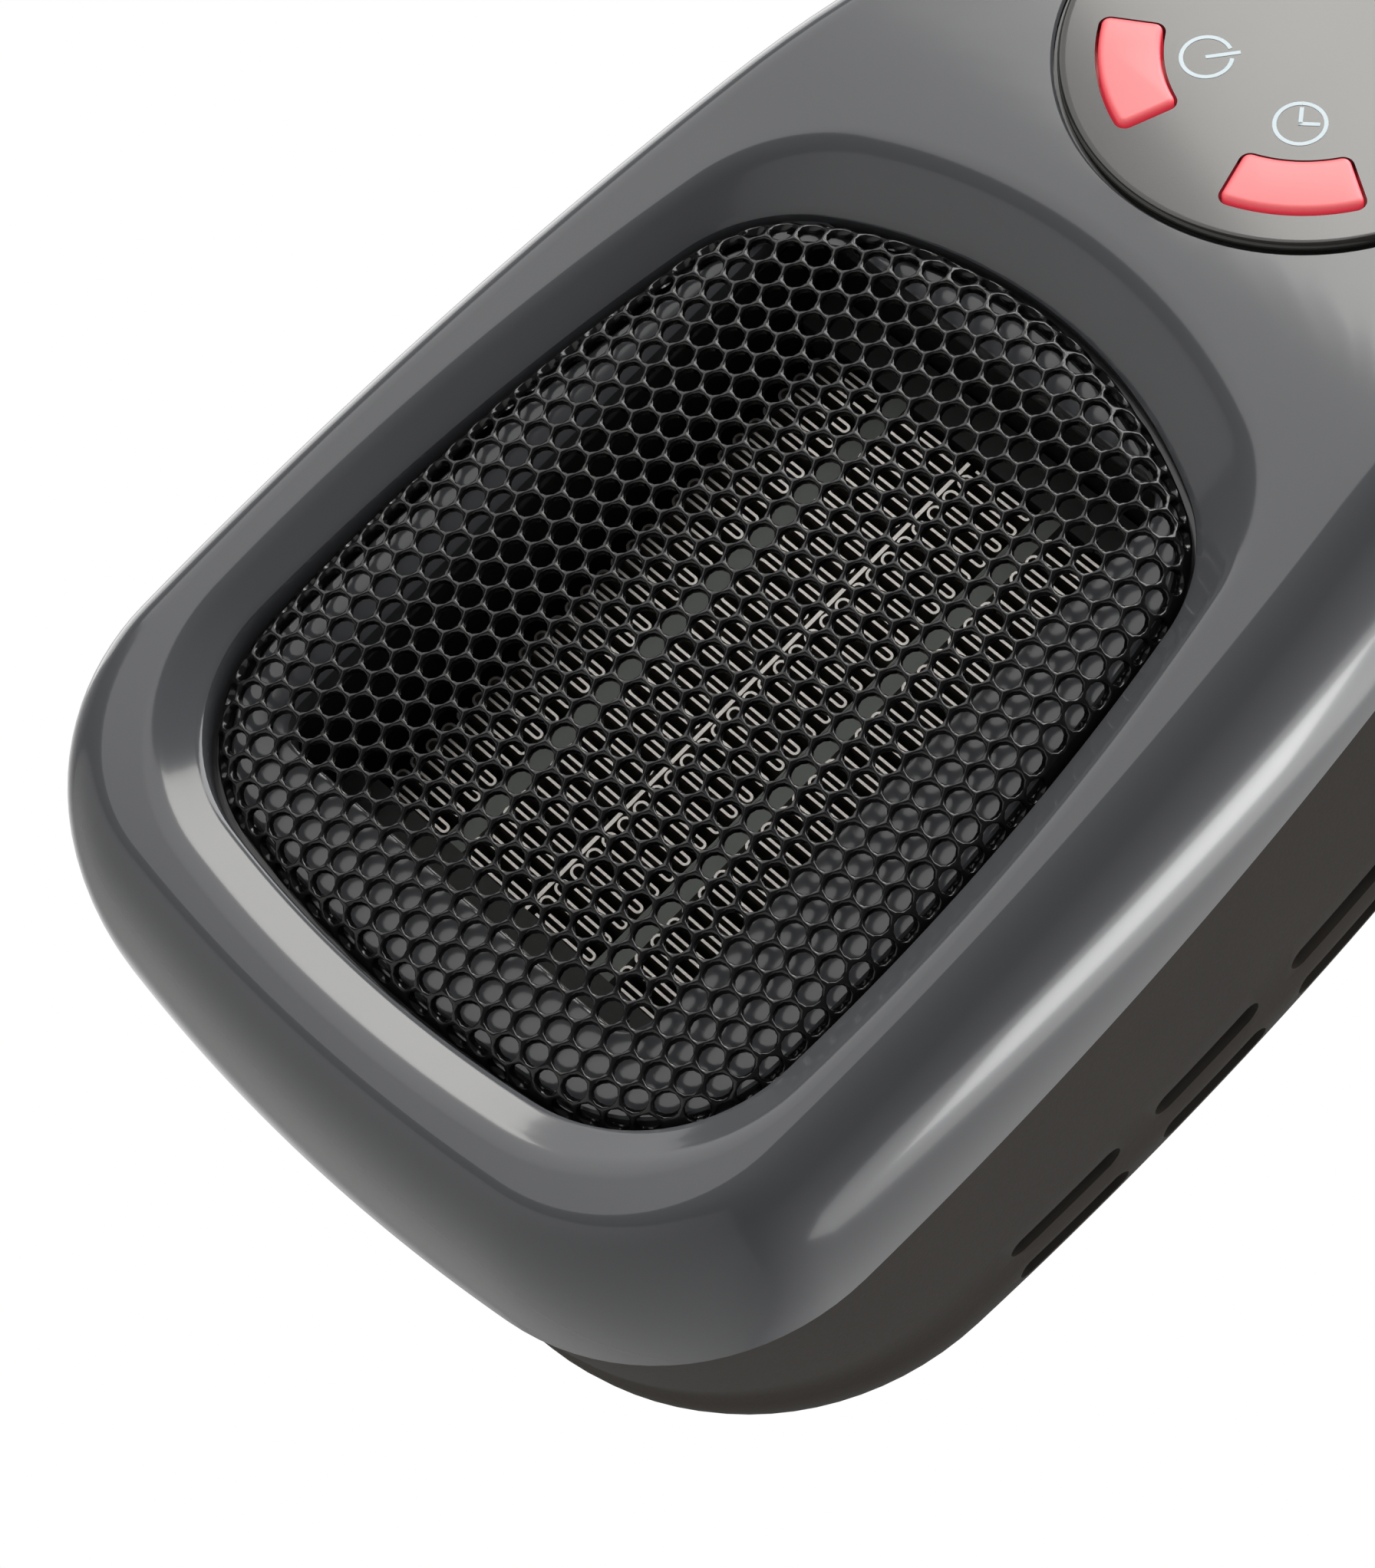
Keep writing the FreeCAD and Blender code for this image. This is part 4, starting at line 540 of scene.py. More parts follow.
STEPS = (12, 18, 34, 20, 16)
BODY = Contour(61.8, -102.55, -63.0, 46.55, 454.8, 59.8, 35.8, 189.8, 24.3)
SHELL_BACK = Contour(55.8, -95.65, -29.8, 40.4, 465.8, 53.8, 29.8, 183.8, 34.0)
GRILLE = Contour(-4.7, -88.0, -63.3, 33.8, 238.0, 47.0, 15.0, 124.0, 16.5, 0.35)
DISH_EDGE = GRILLE.grown(4.5, 8.9, 5.8)
DISH_FLOOR = GRILLE.grown(0.8)
HEATER_X, HEATER_Z = -2.0, -44.0
DISC_HEIGHT = 30.1
PANEL_BEND, BEND_RADIUS = 2.3, 75.0
PANEL_BACK = (DISC_HEIGHT - PANEL_BEND) * math.tan(PANEL_TILT)
PANEL_PLACE = (Matrix.Translation((0.0, FRONT_Y + PANEL_BACK, DISC_HEIGHT))
               @ Matrix.Rotation(math.pi / 2 - PANEL_TILT, 4, "X"))


def lean(height: float) -> float:
    """How far the bezel's front lies behind its crest.

    Args:
        height: Height in millimetres.

    Returns:
        The distance in millimetres.
    """
    reach = BEND_RADIUS * math.tan(PANEL_TILT / 2)
    if height <= PANEL_BEND - reach:
        return 0.0
    if height >= PANEL_BEND + reach * math.cos(PANEL_TILT):
        return (height - PANEL_BEND) * math.tan(PANEL_TILT)
    return BEND_RADIUS - math.sqrt(BEND_RADIUS ** 2 - (height - PANEL_BEND + reach) ** 2)


def at(point: Plan, depth: float) -> Vector:
    """The place of a plan point at a depth behind the crest, in millimetres."""
    return Vector((point[0], FRONT_Y + depth, point[1]))


def mingle(first: Sequence[Vector], second: Sequence[Vector], share: float) -> list[Vector]:
    """Points part of the way from one row of points to another."""
    return [a.lerp(b, share) for a, b in zip(first, second)]


def rounded(radius: float, end: float, bend: float, steps: int = 6) -> list[Plan]:
    """Section of a rounded edge, from a turned body's wall to its end.

    Args:
        radius: The wall's radius.
        end: The end's y.
        bend: Radius of the rounding.
        steps: Steps across it.

    Returns:
        Radius and y of each point.
    """
    angles = [math.pi / 2 * count / steps for count in range(steps + 1)]
    return [(radius - bend + bend * math.cos(angle), end - bend + bend * math.sin(angle))
            for angle in angles]


def closed_row(mesh: BMesh, points: Sequence[Vector]) -> tuple[list[BMVert], list[BMEdge]]:
    """Adds a closed row of points to a mesh.

    Args:
        mesh: The mesh to add to.
        points: The points, going round.

    Returns:
        The vertices and the edges between them.
    """
    verts = [mesh.verts.new(point) for point in points]
    return verts, [mesh.edges.new(pair) for pair in zip(verts, verts[1:] + verts[:1])]


def loft(rings: Sequence[Sequence[Vector]], joined: bool = False) -> BMesh:
    """A skin through rings of points, drawn out ring by ring.

    Args:
        rings: Rings with the same count of points.
        joined: Whether the last ring is bridged back to the first.

    Returns:
        The mesh, in millimetres.
    """
    mesh = bmesh.new()
    row, edges = closed_row(mesh, rings[0])
    first = edges
    for ring in rings[1:]:
        made = bmesh.ops.extrude_edge_only(mesh, edges=edges)["geom"]
        fresh = {item for item in made if isinstance(item, BMVert)}
        after = []
        for vert, point in zip(row, ring):
            others = (edge.other_vert(vert) for edge in vert.link_edges)
            copy = next(other for other in others if other in fresh)
            copy.co = point
            after.append(copy)
        edges = [item for item in made if isinstance(item, BMEdge) and set(item.verts) <= fresh]
        row = after
    if joined:
        bmesh.ops.bridge_loops(mesh, edges=first + edges)
    bmesh.ops.recalc_face_normals(mesh, faces=mesh.faces)
    return mesh


def turned(profile: Sequence[Plan], steps: int, centre: Plan = (0.0, 0.0)) -> BMesh:
    """A closed body turned about a line along Y.

    Args:
        profile: Radius and y of each corner of the section, which is a closed loop.
        steps: Steps round the body.
        centre: The axis, as (x, z).

    Returns:
        The mesh, in millimetres.
    """
    mesh = bmesh.new()
    verts, edges = closed_row(mesh, [Vector((centre[0] + radius, y, centre[1]))
                                     for radius, y in profile])
    bmesh.ops.spin(mesh, geom=verts + edges, cent=(centre[0], 0.0, centre[1]),
                   axis=(0.0, 1.0, 0.0), angle=math.tau, steps=steps, use_merge=True)
    bmesh.ops.remove_doubles(mesh, verts=mesh.verts, dist=1e-5)
    bmesh.ops.recalc_face_normals(mesh, faces=mesh.faces)
    return mesh


def prism(outline: Sequence[Vector], move: Vector) -> BMesh:
    """A flat outline drawn out into a solid.

    Args:
        outline: Corners of the outline.
        move: How far and which way it is drawn.

    Returns:
        The mesh, in millimetres.
    """
    mesh = bmesh.new()
    base = mesh.faces.new([mesh.verts.new(point) for point in outline])
    made = bmesh.ops.extrude_face_region(mesh, geom=[base])["geom"]
    lifted = [item for item in made if isinstance(item, BMVert)]
    bmesh.ops.translate(mesh, vec=move, verts=lifted)
    bmesh.ops.recalc_face_normals(mesh, faces=mesh.faces)
    return mesh


def join(*meshes: BMesh) -> BMesh:
    """Several meshes in one.

    Args:
        meshes: The meshes, which are used up.

    Returns:
        The joined mesh.
    """
    whole = bmesh.new()
    for part in meshes:
        data = bpy.data.meshes.new("part")
        part.to_mesh(data)
        part.free()
        whole.from_mesh(data)
        bpy.data.meshes.remove(data)
    return whole


def carve(mesh: BMesh, *cutters: BMesh) -> BMesh:
    """Cuts closed forms out of a closed mesh.

    Args:
        mesh: The mesh to cut.
        cutters: What is taken away; forms that don't touch can share a mesh.

    Returns:
        The cut mesh.
    """
    for cutter in cutters:
        made = []
        for name, source in (("stock", mesh), ("cutter", cutter)):
            data = bpy.data.meshes.new(name)
            source.to_mesh(data)
            source.free()
            made.append(bpy.data.objects.new(name, data))
            bpy.context.scene.collection.objects.link(made[-1])
        stock, tool = made
        cut = stock.modifiers.new("cut", "BOOLEAN")
        cut.operation = "DIFFERENCE"
        cut.solver = "EXACT"
        cut.object = tool
        bpy.context.view_layer.update()
        ready = stock.evaluated_get(bpy.context.evaluated_depsgraph_get())
        result = bpy.data.meshes.new_from_object(ready)
        mesh = bmesh.new()
        mesh.from_mesh(result)
        bpy.data.meshes.remove(result)
        for obj in made:
            data = obj.data
            bpy.data.objects.remove(obj)
            bpy.data.meshes.remove(data)
    return mesh


def round_edges(mesh: BMesh, chosen: Callable[[BMEdge], bool], offset: float,
                segments: int) -> None:
    """Bevels the edges that pass a test.

    Args:
        mesh: The mesh to work on.
        chosen: The test.
        offset: Width of the bevel in millimetres.
        segments: Steps across it.
    """
    edges = [edge for edge in mesh.edges if chosen(edge)]
    bmesh.ops.bevel(mesh, geom=edges, offset=offset, offset_type="OFFSET", segments=segments,
                    profile=0.5, affect="EDGES", material=-1, clamp_overlap=True)


@dataclass(frozen=True)
class Piece:
    """A finished piece: its name, finish, the body it rides and the solids it stands for."""
    name: str
    finish: Finish
    slot: str
    body: str = "housing"
    stands_for: tuple[str, ...] = ()
    smooth: float = 40.0

    def build(self, mesh: BMesh) -> Object:
        """Puts a mesh into the scene as this piece.

        Args:
            mesh: The mesh, in millimetres.

        Returns:
            The new object.
        """
        bmesh.ops.scale(mesh, vec=(MM, MM, MM), verts=mesh.verts)
        data = bpy.data.meshes.new(self.name)
        mesh.to_mesh(data)
        mesh.free()
        data.shade_smooth()
        data.set_sharp_from_angle(angle=math.radians(self.smooth))
        data.materials.clear()
        data.materials.append(self.finish.material())
        obj = bpy.data.objects.new(self.name, data)
        bpy.context.scene.collection.objects.link(obj)
        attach(obj, self.body)
        if self.stands_for:
            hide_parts(*self.stands_for)
        return obj


@dataclass
class Bezel:
    """The glossy front: pillow rim, leaning face, dish, grille groove and heater window.

    lip_rings and window_rings pair a reach with a drop, groove_rings a reach with a depth.
    """
    rim_width: float = 6.8
    rim_depth: float = 17.8
    rim_steps: int = 18
    face_steps: int = 16
    dish_depth: float = 4.4
    dish_steps: int = 14
    dish_spacing: float = 1.15
    slope_depths: Plan = (1.6, 3.4)
    slope_start: float = 0.4
    slope_samples: int = 200
    lip_rings: tuple[Plan, ...] = ((0.6, 0.2), (0.5, 0.6))
    groove_rings: tuple[Plan, ...] = ((0.45, 5.8), (-1.3, 5.8), (-1.35, 4.6), (-1.6, 4.4))
    window_rings: tuple[Plan, ...] = ((0.6, 0.0), (0.15, 0.2), (0.0, 0.6))
    window_half: Plan = (23.2, 33.5)
    window_corner: float = 3.0
    search_reach: float = 80.0
    search_steps: int = 40
    floor_wall: float = 2.8
    panel_wall: float = 5.0
    wall: float = 2.5
    wall_round: float = 3.0
    inner_steps: int = 8
    disc_hole: float = 22.98
    disc_chamfer: float = 0.25
    disc_ledge: float = 21.2
    disc_wall: float = 2.0
    cut_above: float = 6.0
    cut_below: float = 30.0

    def slope_end(self, height: float) -> float:
        """Depth where the dish's slope ends, shallow at the bottom and deeper at the top.

        Args:
            height: Height in millimetres.

        Returns:
            The depth.
        """
        shallow, deep = self.slope_depths
        share = (height - DISH_FLOOR.bottom) / (DISH_FLOOR.top - DISH_FLOOR.bottom)
        return shallow + (deep - shallow) * min(1.0, max(0.0, share))

    def fall(self) -> list[Plan]:
        """How the dish falls from its edge: gently first, then evenly.

        Returns:
            Shares of the way across the dish, each with its share of the way down.
        """
        count = self.slope_samples
        slopes = [min(1.0, (step + 0.5) / count / self.slope_start) for step in range(count)]
        shares = []
        for step in range(1, self.dish_steps + 1):
            share = (step / self.dish_steps) ** self.dish_spacing
            shares.append((share, sum(slopes[:round(share * count)]) / sum(slopes)))
        return shares

    def window(self, reach: float) -> list[Vector]:
        """The heater window's rounded outline, met point by point with the contours' points.

        Args:
            reach: How far the outline is moved out.

        Returns:
            The points as (x, z).
        """
        wide, high = self.window_half[0] + reach, self.window_half[1] + reach
        bend = self.window_corner + reach
        middle = Vector((HEATER_X, HEATER_Z))
        outline = []
        for point in GRILLE.points(STEPS):
            way = (point - middle).normalized()
            low, top = 0.0, self.search_reach
            for _ in range(self.search_steps):
                half = (low + top) / 2
                across, up = (abs(side) for side in way * half)
                corner = Vector((max(across - wide + bend, 0.0), max(up - high + bend, 0.0)))
                inside = corner.length < bend and across < wide and up < high
                low, top = (half, top) if inside else (low, half)
            outline.append(middle + way * low)
        return outline

    def rim(self) -> list[list[Vector]]:
        """The pillow rim.

        Returns:
            Rings from the parting line over the rim to the front.
        """
        rings = []
        for step in range(self.rim_steps + 1):
            angle = math.pi / 2 * step / self.rim_steps
            row = BODY.inset(self.rim_width * (1 - math.cos(angle))).points(STEPS)
            share = 1 - math.sin(angle)
            rings.append([at(p, lean(p.y) + (self.rim_depth - lean(p.y)) * share) for p in row])
        return rings

    def outer_rings(self) -> list[list[Vector]]:
        """The outside.

        Returns:
            Rings from the parting line over the rim and down the dish to the window.
        """
        rings = self.rim()
        crest = [Vector((point.x, point.z)) for point in rings[-1]]
        edge, floor = DISH_EDGE.points(STEPS), DISH_FLOOR.points(STEPS)
        for step in range(1, self.face_steps + 1):
            rings.append([at(p, lean(p.y)) for p in mingle(crest, edge, step / self.face_steps)])
        for share, fall in self.fall():
            rings.append([at(p, lean(p.y) * (1 - fall) + self.slope_end(foot.y) * fall)
                          for p, foot in zip(mingle(edge, floor, share), floor)])
        for reach, drop in self.lip_rings:
            row = GRILLE.grown(reach).points(STEPS)
            rings.append([at(p, self.slope_end(p.y) + drop) for p in row])
        for reach, depth in self.groove_rings:
            rings.append([at(p, depth) for p in GRILLE.grown(reach).points(STEPS)])
        for reach, drop in self.window_rings:
            rings.append([at(p, self.dish_depth + drop) for p in self.window(reach)])
        return rings

    def inner_rings(self) -> list[list[Vector]]:
        """The inside.

        Returns:
            Rings from the window's back along the inside to the parting line.
        """
        back = self.dish_depth + self.floor_wall
        start, end = self.window(0.0), BODY.inset(self.wall + self.wall_round).points(STEPS)
        rings = [[at(p, back) for p in start]]
        for step in range(1, self.inner_steps + 1):
            row = mingle(start, end, step / self.inner_steps)
            rings.append([at(p, max(back, lean(p.y) + self.panel_wall)) for p in row])
        rings.append([at(p, self.rim_depth) for p in BODY.inset(self.wall).points(STEPS)])
        return rings

    def build(self) -> list[Object]:
        """Builds the bezel and cuts the control disc's seat.

        Returns:
            The piece.
        """
        skin = loft(self.outer_rings() + self.inner_rings(), joined=True)
        hole, mouth_edge = self.disc_hole, self.disc_hole + self.disc_chamfer
        mouth = turned([(0.0, -self.disc_wall), (hole, -self.disc_wall),
                        (hole, -self.disc_chamfer), (mouth_edge, 0.0),
                        (mouth_edge, self.cut_above), (0.0, self.cut_above)], 128)
        throat = turned([(0.0, -self.cut_below), (self.disc_ledge, -self.cut_below),
                         (self.disc_ledge, -1.0), (0.0, -1.0)], 96)
        seat = PANEL_PLACE @ Matrix.Rotation(math.pi / 2, 4, "X")
        for cutter in (mouth, throat):
            bmesh.ops.transform(cutter, matrix=seat, verts=cutter.verts)
        return [Piece("front_bezel_skin", Palette.BEZEL, "bezel_plastic",
                      stands_for=("front_bezel",), smooth=30.0).build(carve(skin, mouth, throat))]


@dataclass
class RearShell:
    """The satin back half with air slots in its sides and screw tunnels in its back."""
    step: float = 0.3
    slope: float = math.radians(7.0)
    start: float = 17.8
    depth: float = 68.0
    wall: float = 2.5
    back_round: float = 16.0
    round_steps: int = 14
    side_shares: tuple[float, ...] = (0.0, 0.015, 0.2, 0.4, 0.6, 0.8, 1.0)
    back_shares: tuple[float, ...] = (0.3, 0.6, 0.9, 0.985)
    inner_shares: tuple[float, ...] = (0.7, 0.35)
    plug_hole: float = 18.8
    plug_chamfer: float = 0.3
    slot_length: float = 13.9
    slot_width: float = 3.4
    slot_lip: float = 0.6
    lip_steps: int = 4
    slot_steps: int = 18
    slot_reach: float = 60.0
    slot_rows: tuple[float, ...] = (48.4, 54.7)
    slot_heights: tuple[float, ...] = (-56.6, -38.1, -19.6, -1.1, 17.4)
    tunnels: tuple[Plan, ...] = ((-30.5, -83.5), (30.5, -83.5), (-19.5, 46.5), (19.5, 46.5))
    tunnel_radius: float = 3.1
    tunnel_wall: float = 1.2
    tunnel_floor: float = 42.0
    tunnel_sink: float = 0.6
    tunnel_steps: int = 32
    floor_wall: float = 4.0
    screw_hole: float = 1.55
    bore_start: float = 6.0
    bore_end: float = 80.0

    def sections(self, thick: float) -> list[tuple[Contour, float]]:
        """Outline and depth of each ring of the skin that lies a thickness inside the outer one.

        Args:
            thick: Distance inside the outer skin.

        Returns:
            The rings from the parting line to the flat back.
        """
        front, rear = BODY.inset(self.step + thick), SHELL_BACK.inset(thick)
        radius, back = self.back_round - thick / 2, self.depth - thick
        bend = back - radius * (1 + math.sin(self.slope))
        rings = []
        for share in self.side_shares:
            depth = self.start + (bend - self.start) * share
            way = (depth - self.start) / (self.depth - self.start)
            rings.append((front.towards(rear, way), depth))
        last = rings[-1][0]
        for count in range(1, self.round_steps + 1):
            angle = -self.slope + (math.pi / 2 + self.slope) * count / self.round_steps
            rings.append((last.inset(radius * (math.cos(self.slope) - math.cos(angle))),
                          back - radius + radius * math.sin(angle)))
        return rings

    def rings(self) -> list[list[Vector]]:
        """The whole skin, whose plug opening is met point by point with the contours' points.

        Returns:
            Rings over the outside to the plug opening and back along the inside.
        """
        def ring(section: tuple[Contour, float]) -> list[Vector]:
            """The points of one section."""
            return [at(p, section[1]) for p in section[0].points(STEPS)]
        outside, inside = self.sections(0.0), self.sections(self.wall)
        hole = [point.normalized() * self.plug_hole for point in BODY.points(STEPS)]
        floor = self.depth - self.wall
        rings = [ring(section) for section in outside]
        rim = outside[-1][0].points(STEPS)
        for share in self.back_shares:
            rings.append([at(p, self.depth) for p in mingle(rim, hole, share)])
        for depth in (self.depth - self.plug_chamfer, floor):
            rings.append([at(p, depth) for p in hole])
        rim = inside[-1][0].points(STEPS)
        for share in self.inner_shares:
            rings.append([at(p, floor) for p in mingle(rim, hole, share)])
        return rings + [ring(section) for section in reversed(inside)]

    def slots(self, depth: float) -> BMesh:
        """One row of slot cutters, with rounded ends, right across the shell.

        Args:
            depth: Depth of the row's middle behind the crest.

        Returns:
            The cutters in one mesh.
        """
        cutters = []
        half, reach = self.slot_width / 2, self.slot_length / 2 - self.slot_width / 2
        for height in self.slot_heights:
            outline = []
            for count in range(self.slot_steps):
                angle = math.tau * (count + 0.5) / self.slot_steps
                lift = math.copysign(reach, math.sin(angle))
                outline.append(Vector((-self.slot_reach, FRONT_Y + depth + half * math.cos(angle),
                                       height + lift + half * math.sin(angle))))
            cutters.append(prism(outline, Vector((2 * self.slot_reach, 0.0, 0.0))))
        return join(*cutters)

    def surface(self, spot: Plan) -> float:
        """Depth of the outside over the outermost point of a tunnel's wall.

        Args:
            spot: The tunnel's axis, as (x, z).

        Returns:
            The depth behind the crest.
        """
        needed, before = self.tunnel_radius + self.tunnel_wall + 0.1, None
        for contour, depth in self.sections(0.0):
            room = contour.depth(Vector(spot))[0] - needed
            if room < 0:
                return before[1] + (depth - before[1]) * before[0] / (before[0] - room)
            before = (room, depth)
        return self.depth

    def is_lip(self, edge: BMEdge) -> bool:
        """Whether an edge lies between the outside and the wall of a slot.

        Args:
            edge: An edge of the cut shell.

        Returns:
            True for the edges to round.
        """
        if len(edge.link_faces) != 2:
            return False
        middle = (edge.verts[0].co + edge.verts[1].co) / 2
        for value, marks, room in ((middle.y - FRONT_Y, self.slot_rows, self.slot_width),
                                   (middle.z, self.slot_heights, self.slot_length)):
            if not marks[0] - room < value < marks[-1] + room:
                return False
        outward = math.copysign(1.0, middle.x)
        inner, outer = sorted(face.normal.x * outward for face in edge.link_faces)
        return abs(inner) < 0.3 and outer > 0.8

    def build(self) -> list[Object]:
        """Builds the shell and the tunnels that lead to its screws.

        Returns:
            The shell and the tunnels' lining.
        """
        seat, inner = FRONT_Y + self.tunnel_floor, self.tunnel_radius
        start, reach = seat + self.bore_start, FRONT_Y + self.bore_end
        bores = [turned([(0.0, start), (inner, start), (inner, reach), (0.0, reach)],
                        self.tunnel_steps, spot) for spot in self.tunnels]
        skin = carve(loft(self.rings(), joined=True),
                     *[self.slots(row) for row in self.slot_rows], join(*bores))
        bmesh.ops.remove_doubles(skin, verts=skin.verts, dist=0.01)
        skin.normal_update()
        round_edges(skin, self.is_lip, self.slot_lip, self.lip_steps)
        shell = Piece("rear_shell_skin", Palette.SHELL, "shell_plastic",
                      stands_for=("rear_shell",), smooth=50.0).build(skin)
        low, outer, tubes = seat - self.floor_wall, inner + self.tunnel_wall, []
        for spot in self.tunnels:
            end = FRONT_Y + self.surface(spot) - self.tunnel_sink
            tubes.append(turned([(self.screw_hole, low), (outer, low), (outer, end), (inner, end),
                                 (inner, seat), (self.screw_hole, seat)], self.tunnel_steps, spot))
        lining = Piece("screw_tunnels", Palette.SHELL, "shell_plastic").build(join(*tubes))
        return [shell, lining]


@dataclass
class GrilleSheet:
    """The domed perforated sheet: a hexagonal lattice of holes over a crown and its shoulder.

    edge_rings pairs a reach beyond the hole with a depth, for the holes' rolled edges.
    """
    pitch: float = 2.75
    hole: float = 1.19
    wall: float = 0.8
    edge_rings: tuple[Plan, ...] = ((0.1, 0.04), (0.01, 0.17), (0.0, 0.8))
    sides: int = 12
    shoulder: float = 3.4
    skirt: float = 0.9
    crown_across: float = 435.0
    crown_along: float = 640.0
    shift: float = 0.41
    columns: int = 18
    lines: int = 20
    border: float = 0.62

    def ring(self, reach: Optional[float], depth: float) -> list[Vector]:
        """Points round a cell.

        Args:
            reach: Radius of a circle, or None for the cell's hexagon.
            depth: Depth below the sheet's top.

        Returns:
            The points of the flat sheet.
        """
        points = []
        for count in range(self.sides):
            angle = math.tau * count / self.sides
            corner = self.pitch / math.sqrt(3) if count % 2 == 0 else self.pitch / 2
            far = corner if reach is None else reach
            points.append(Vector((far * math.cos(angle), depth, far * math.sin(angle))))
        return points

    def cell(self) -> bpy.types.Mesh:
        """One hexagonal cell round a hole with a rolled edge, flat, with its top at y = 0.

        Returns:
            The cell's mesh data.
        """
        walls = [self.ring(self.hole + reach, depth) for reach, depth in self.edge_rings]
        cell = loft([self.ring(None, 0.0), *walls, self.ring(None, self.wall)])
        data = bpy.data.meshes.new("cell")
        cell.to_mesh(data)
        cell.free()
        return data

    def centres(self, edge: Contour) -> list[Plan]:
        """Places of the holes whose cells lie inside an outline.

        Args:
            edge: The outline.

        Returns:
            The places as (x, z).
        """
        found = []
        step = self.pitch * math.sqrt(3) / 2
        for column in range(-self.columns, self.columns + 1):
            stagger = 0.5 if column % 2 else 0.0
            for line in range(-self.lines, self.lines + 1):
                spot = (self.shift + column * step, HEATER_Z + (line + stagger) * self.pitch)
                if edge.depth(Vector(spot))[0] > self.pitch * self.border:
                    found.append(spot)
        return found

    def wrap(self, point: Vector, flat: Contour) -> Vector:
        """Lays a point of the flat sheet on the dome.

        Args:
            point: The point, with its depth below the sheet's top as y.
            flat: Outline of the crown, beyond which the shoulder starts.

        Returns:
            The point's place.
        """
        spot = Vector((point.x, point.z))
        depth, way = flat.depth(spot)
        over = max(-depth, 0.0)
        foot = spot - way * over if over else spot
        sag = (foot.x ** 2 / (2 * self.crown_across)
               + (foot.y - HEATER_Z) ** 2 / (2 * self.crown_along))
        quarter = self.shoulder * math.pi / 2
        angle = min(over, quarter) / self.shoulder
        fall = sag + self.shoulder * (1 - math.cos(angle)) + max(over - quarter, 0.0)
        plan = foot + way * (self.shoulder * math.sin(angle) - point.y * math.sin(angle))
        return at((plan.x, plan.y), fall + point.y * math.cos(angle))

    def build(self) -> list[Object]:
        """Builds the sheet flat, fills its border and wraps it.

        Returns:
            The piece.
        """
        flat = GRILLE.inset(self.shoulder)
        edge = flat.grown(self.shoulder * math.pi / 2 + self.skirt)
        data = self.cell()
        sheet = bmesh.new()
        for across, up in self.centres(edge):
            known = len(sheet.verts)
            sheet.from_mesh(data)
            sheet.verts.ensure_lookup_table()
            bmesh.ops.translate(sheet, vec=(across, 0.0, up), verts=sheet.verts[known:])
        bpy.data.meshes.remove(data)
        bmesh.ops.remove_doubles(sheet, verts=sheet.verts, dist=0.01)
        rims = []
        for level in (0.0, self.wall):
            ragged = [e for e in sheet.edges
                      if e.is_boundary and all(abs(v.co.y - level) < 1e-4 for v in e.verts)]
            rim = closed_row(sheet, [Vector((p.x, level, p.y)) for p in edge.points(STEPS)])[1]
            bmesh.ops.triangle_fill(sheet, edges=ragged + rim, use_beauty=True)
            rims += rim
        bmesh.ops.bridge_loops(sheet, edges=rims)
        for vert in sheet.verts:
            vert.co = self.wrap(vert.co.copy(), flat)
        bmesh.ops.recalc_face_normals(sheet, faces=sheet.faces)
        return [Piece("grille_sheet", Palette.GRILLE, "grille_paint", stands_for=("grille",),
                      smooth=60.0).build(sheet)]


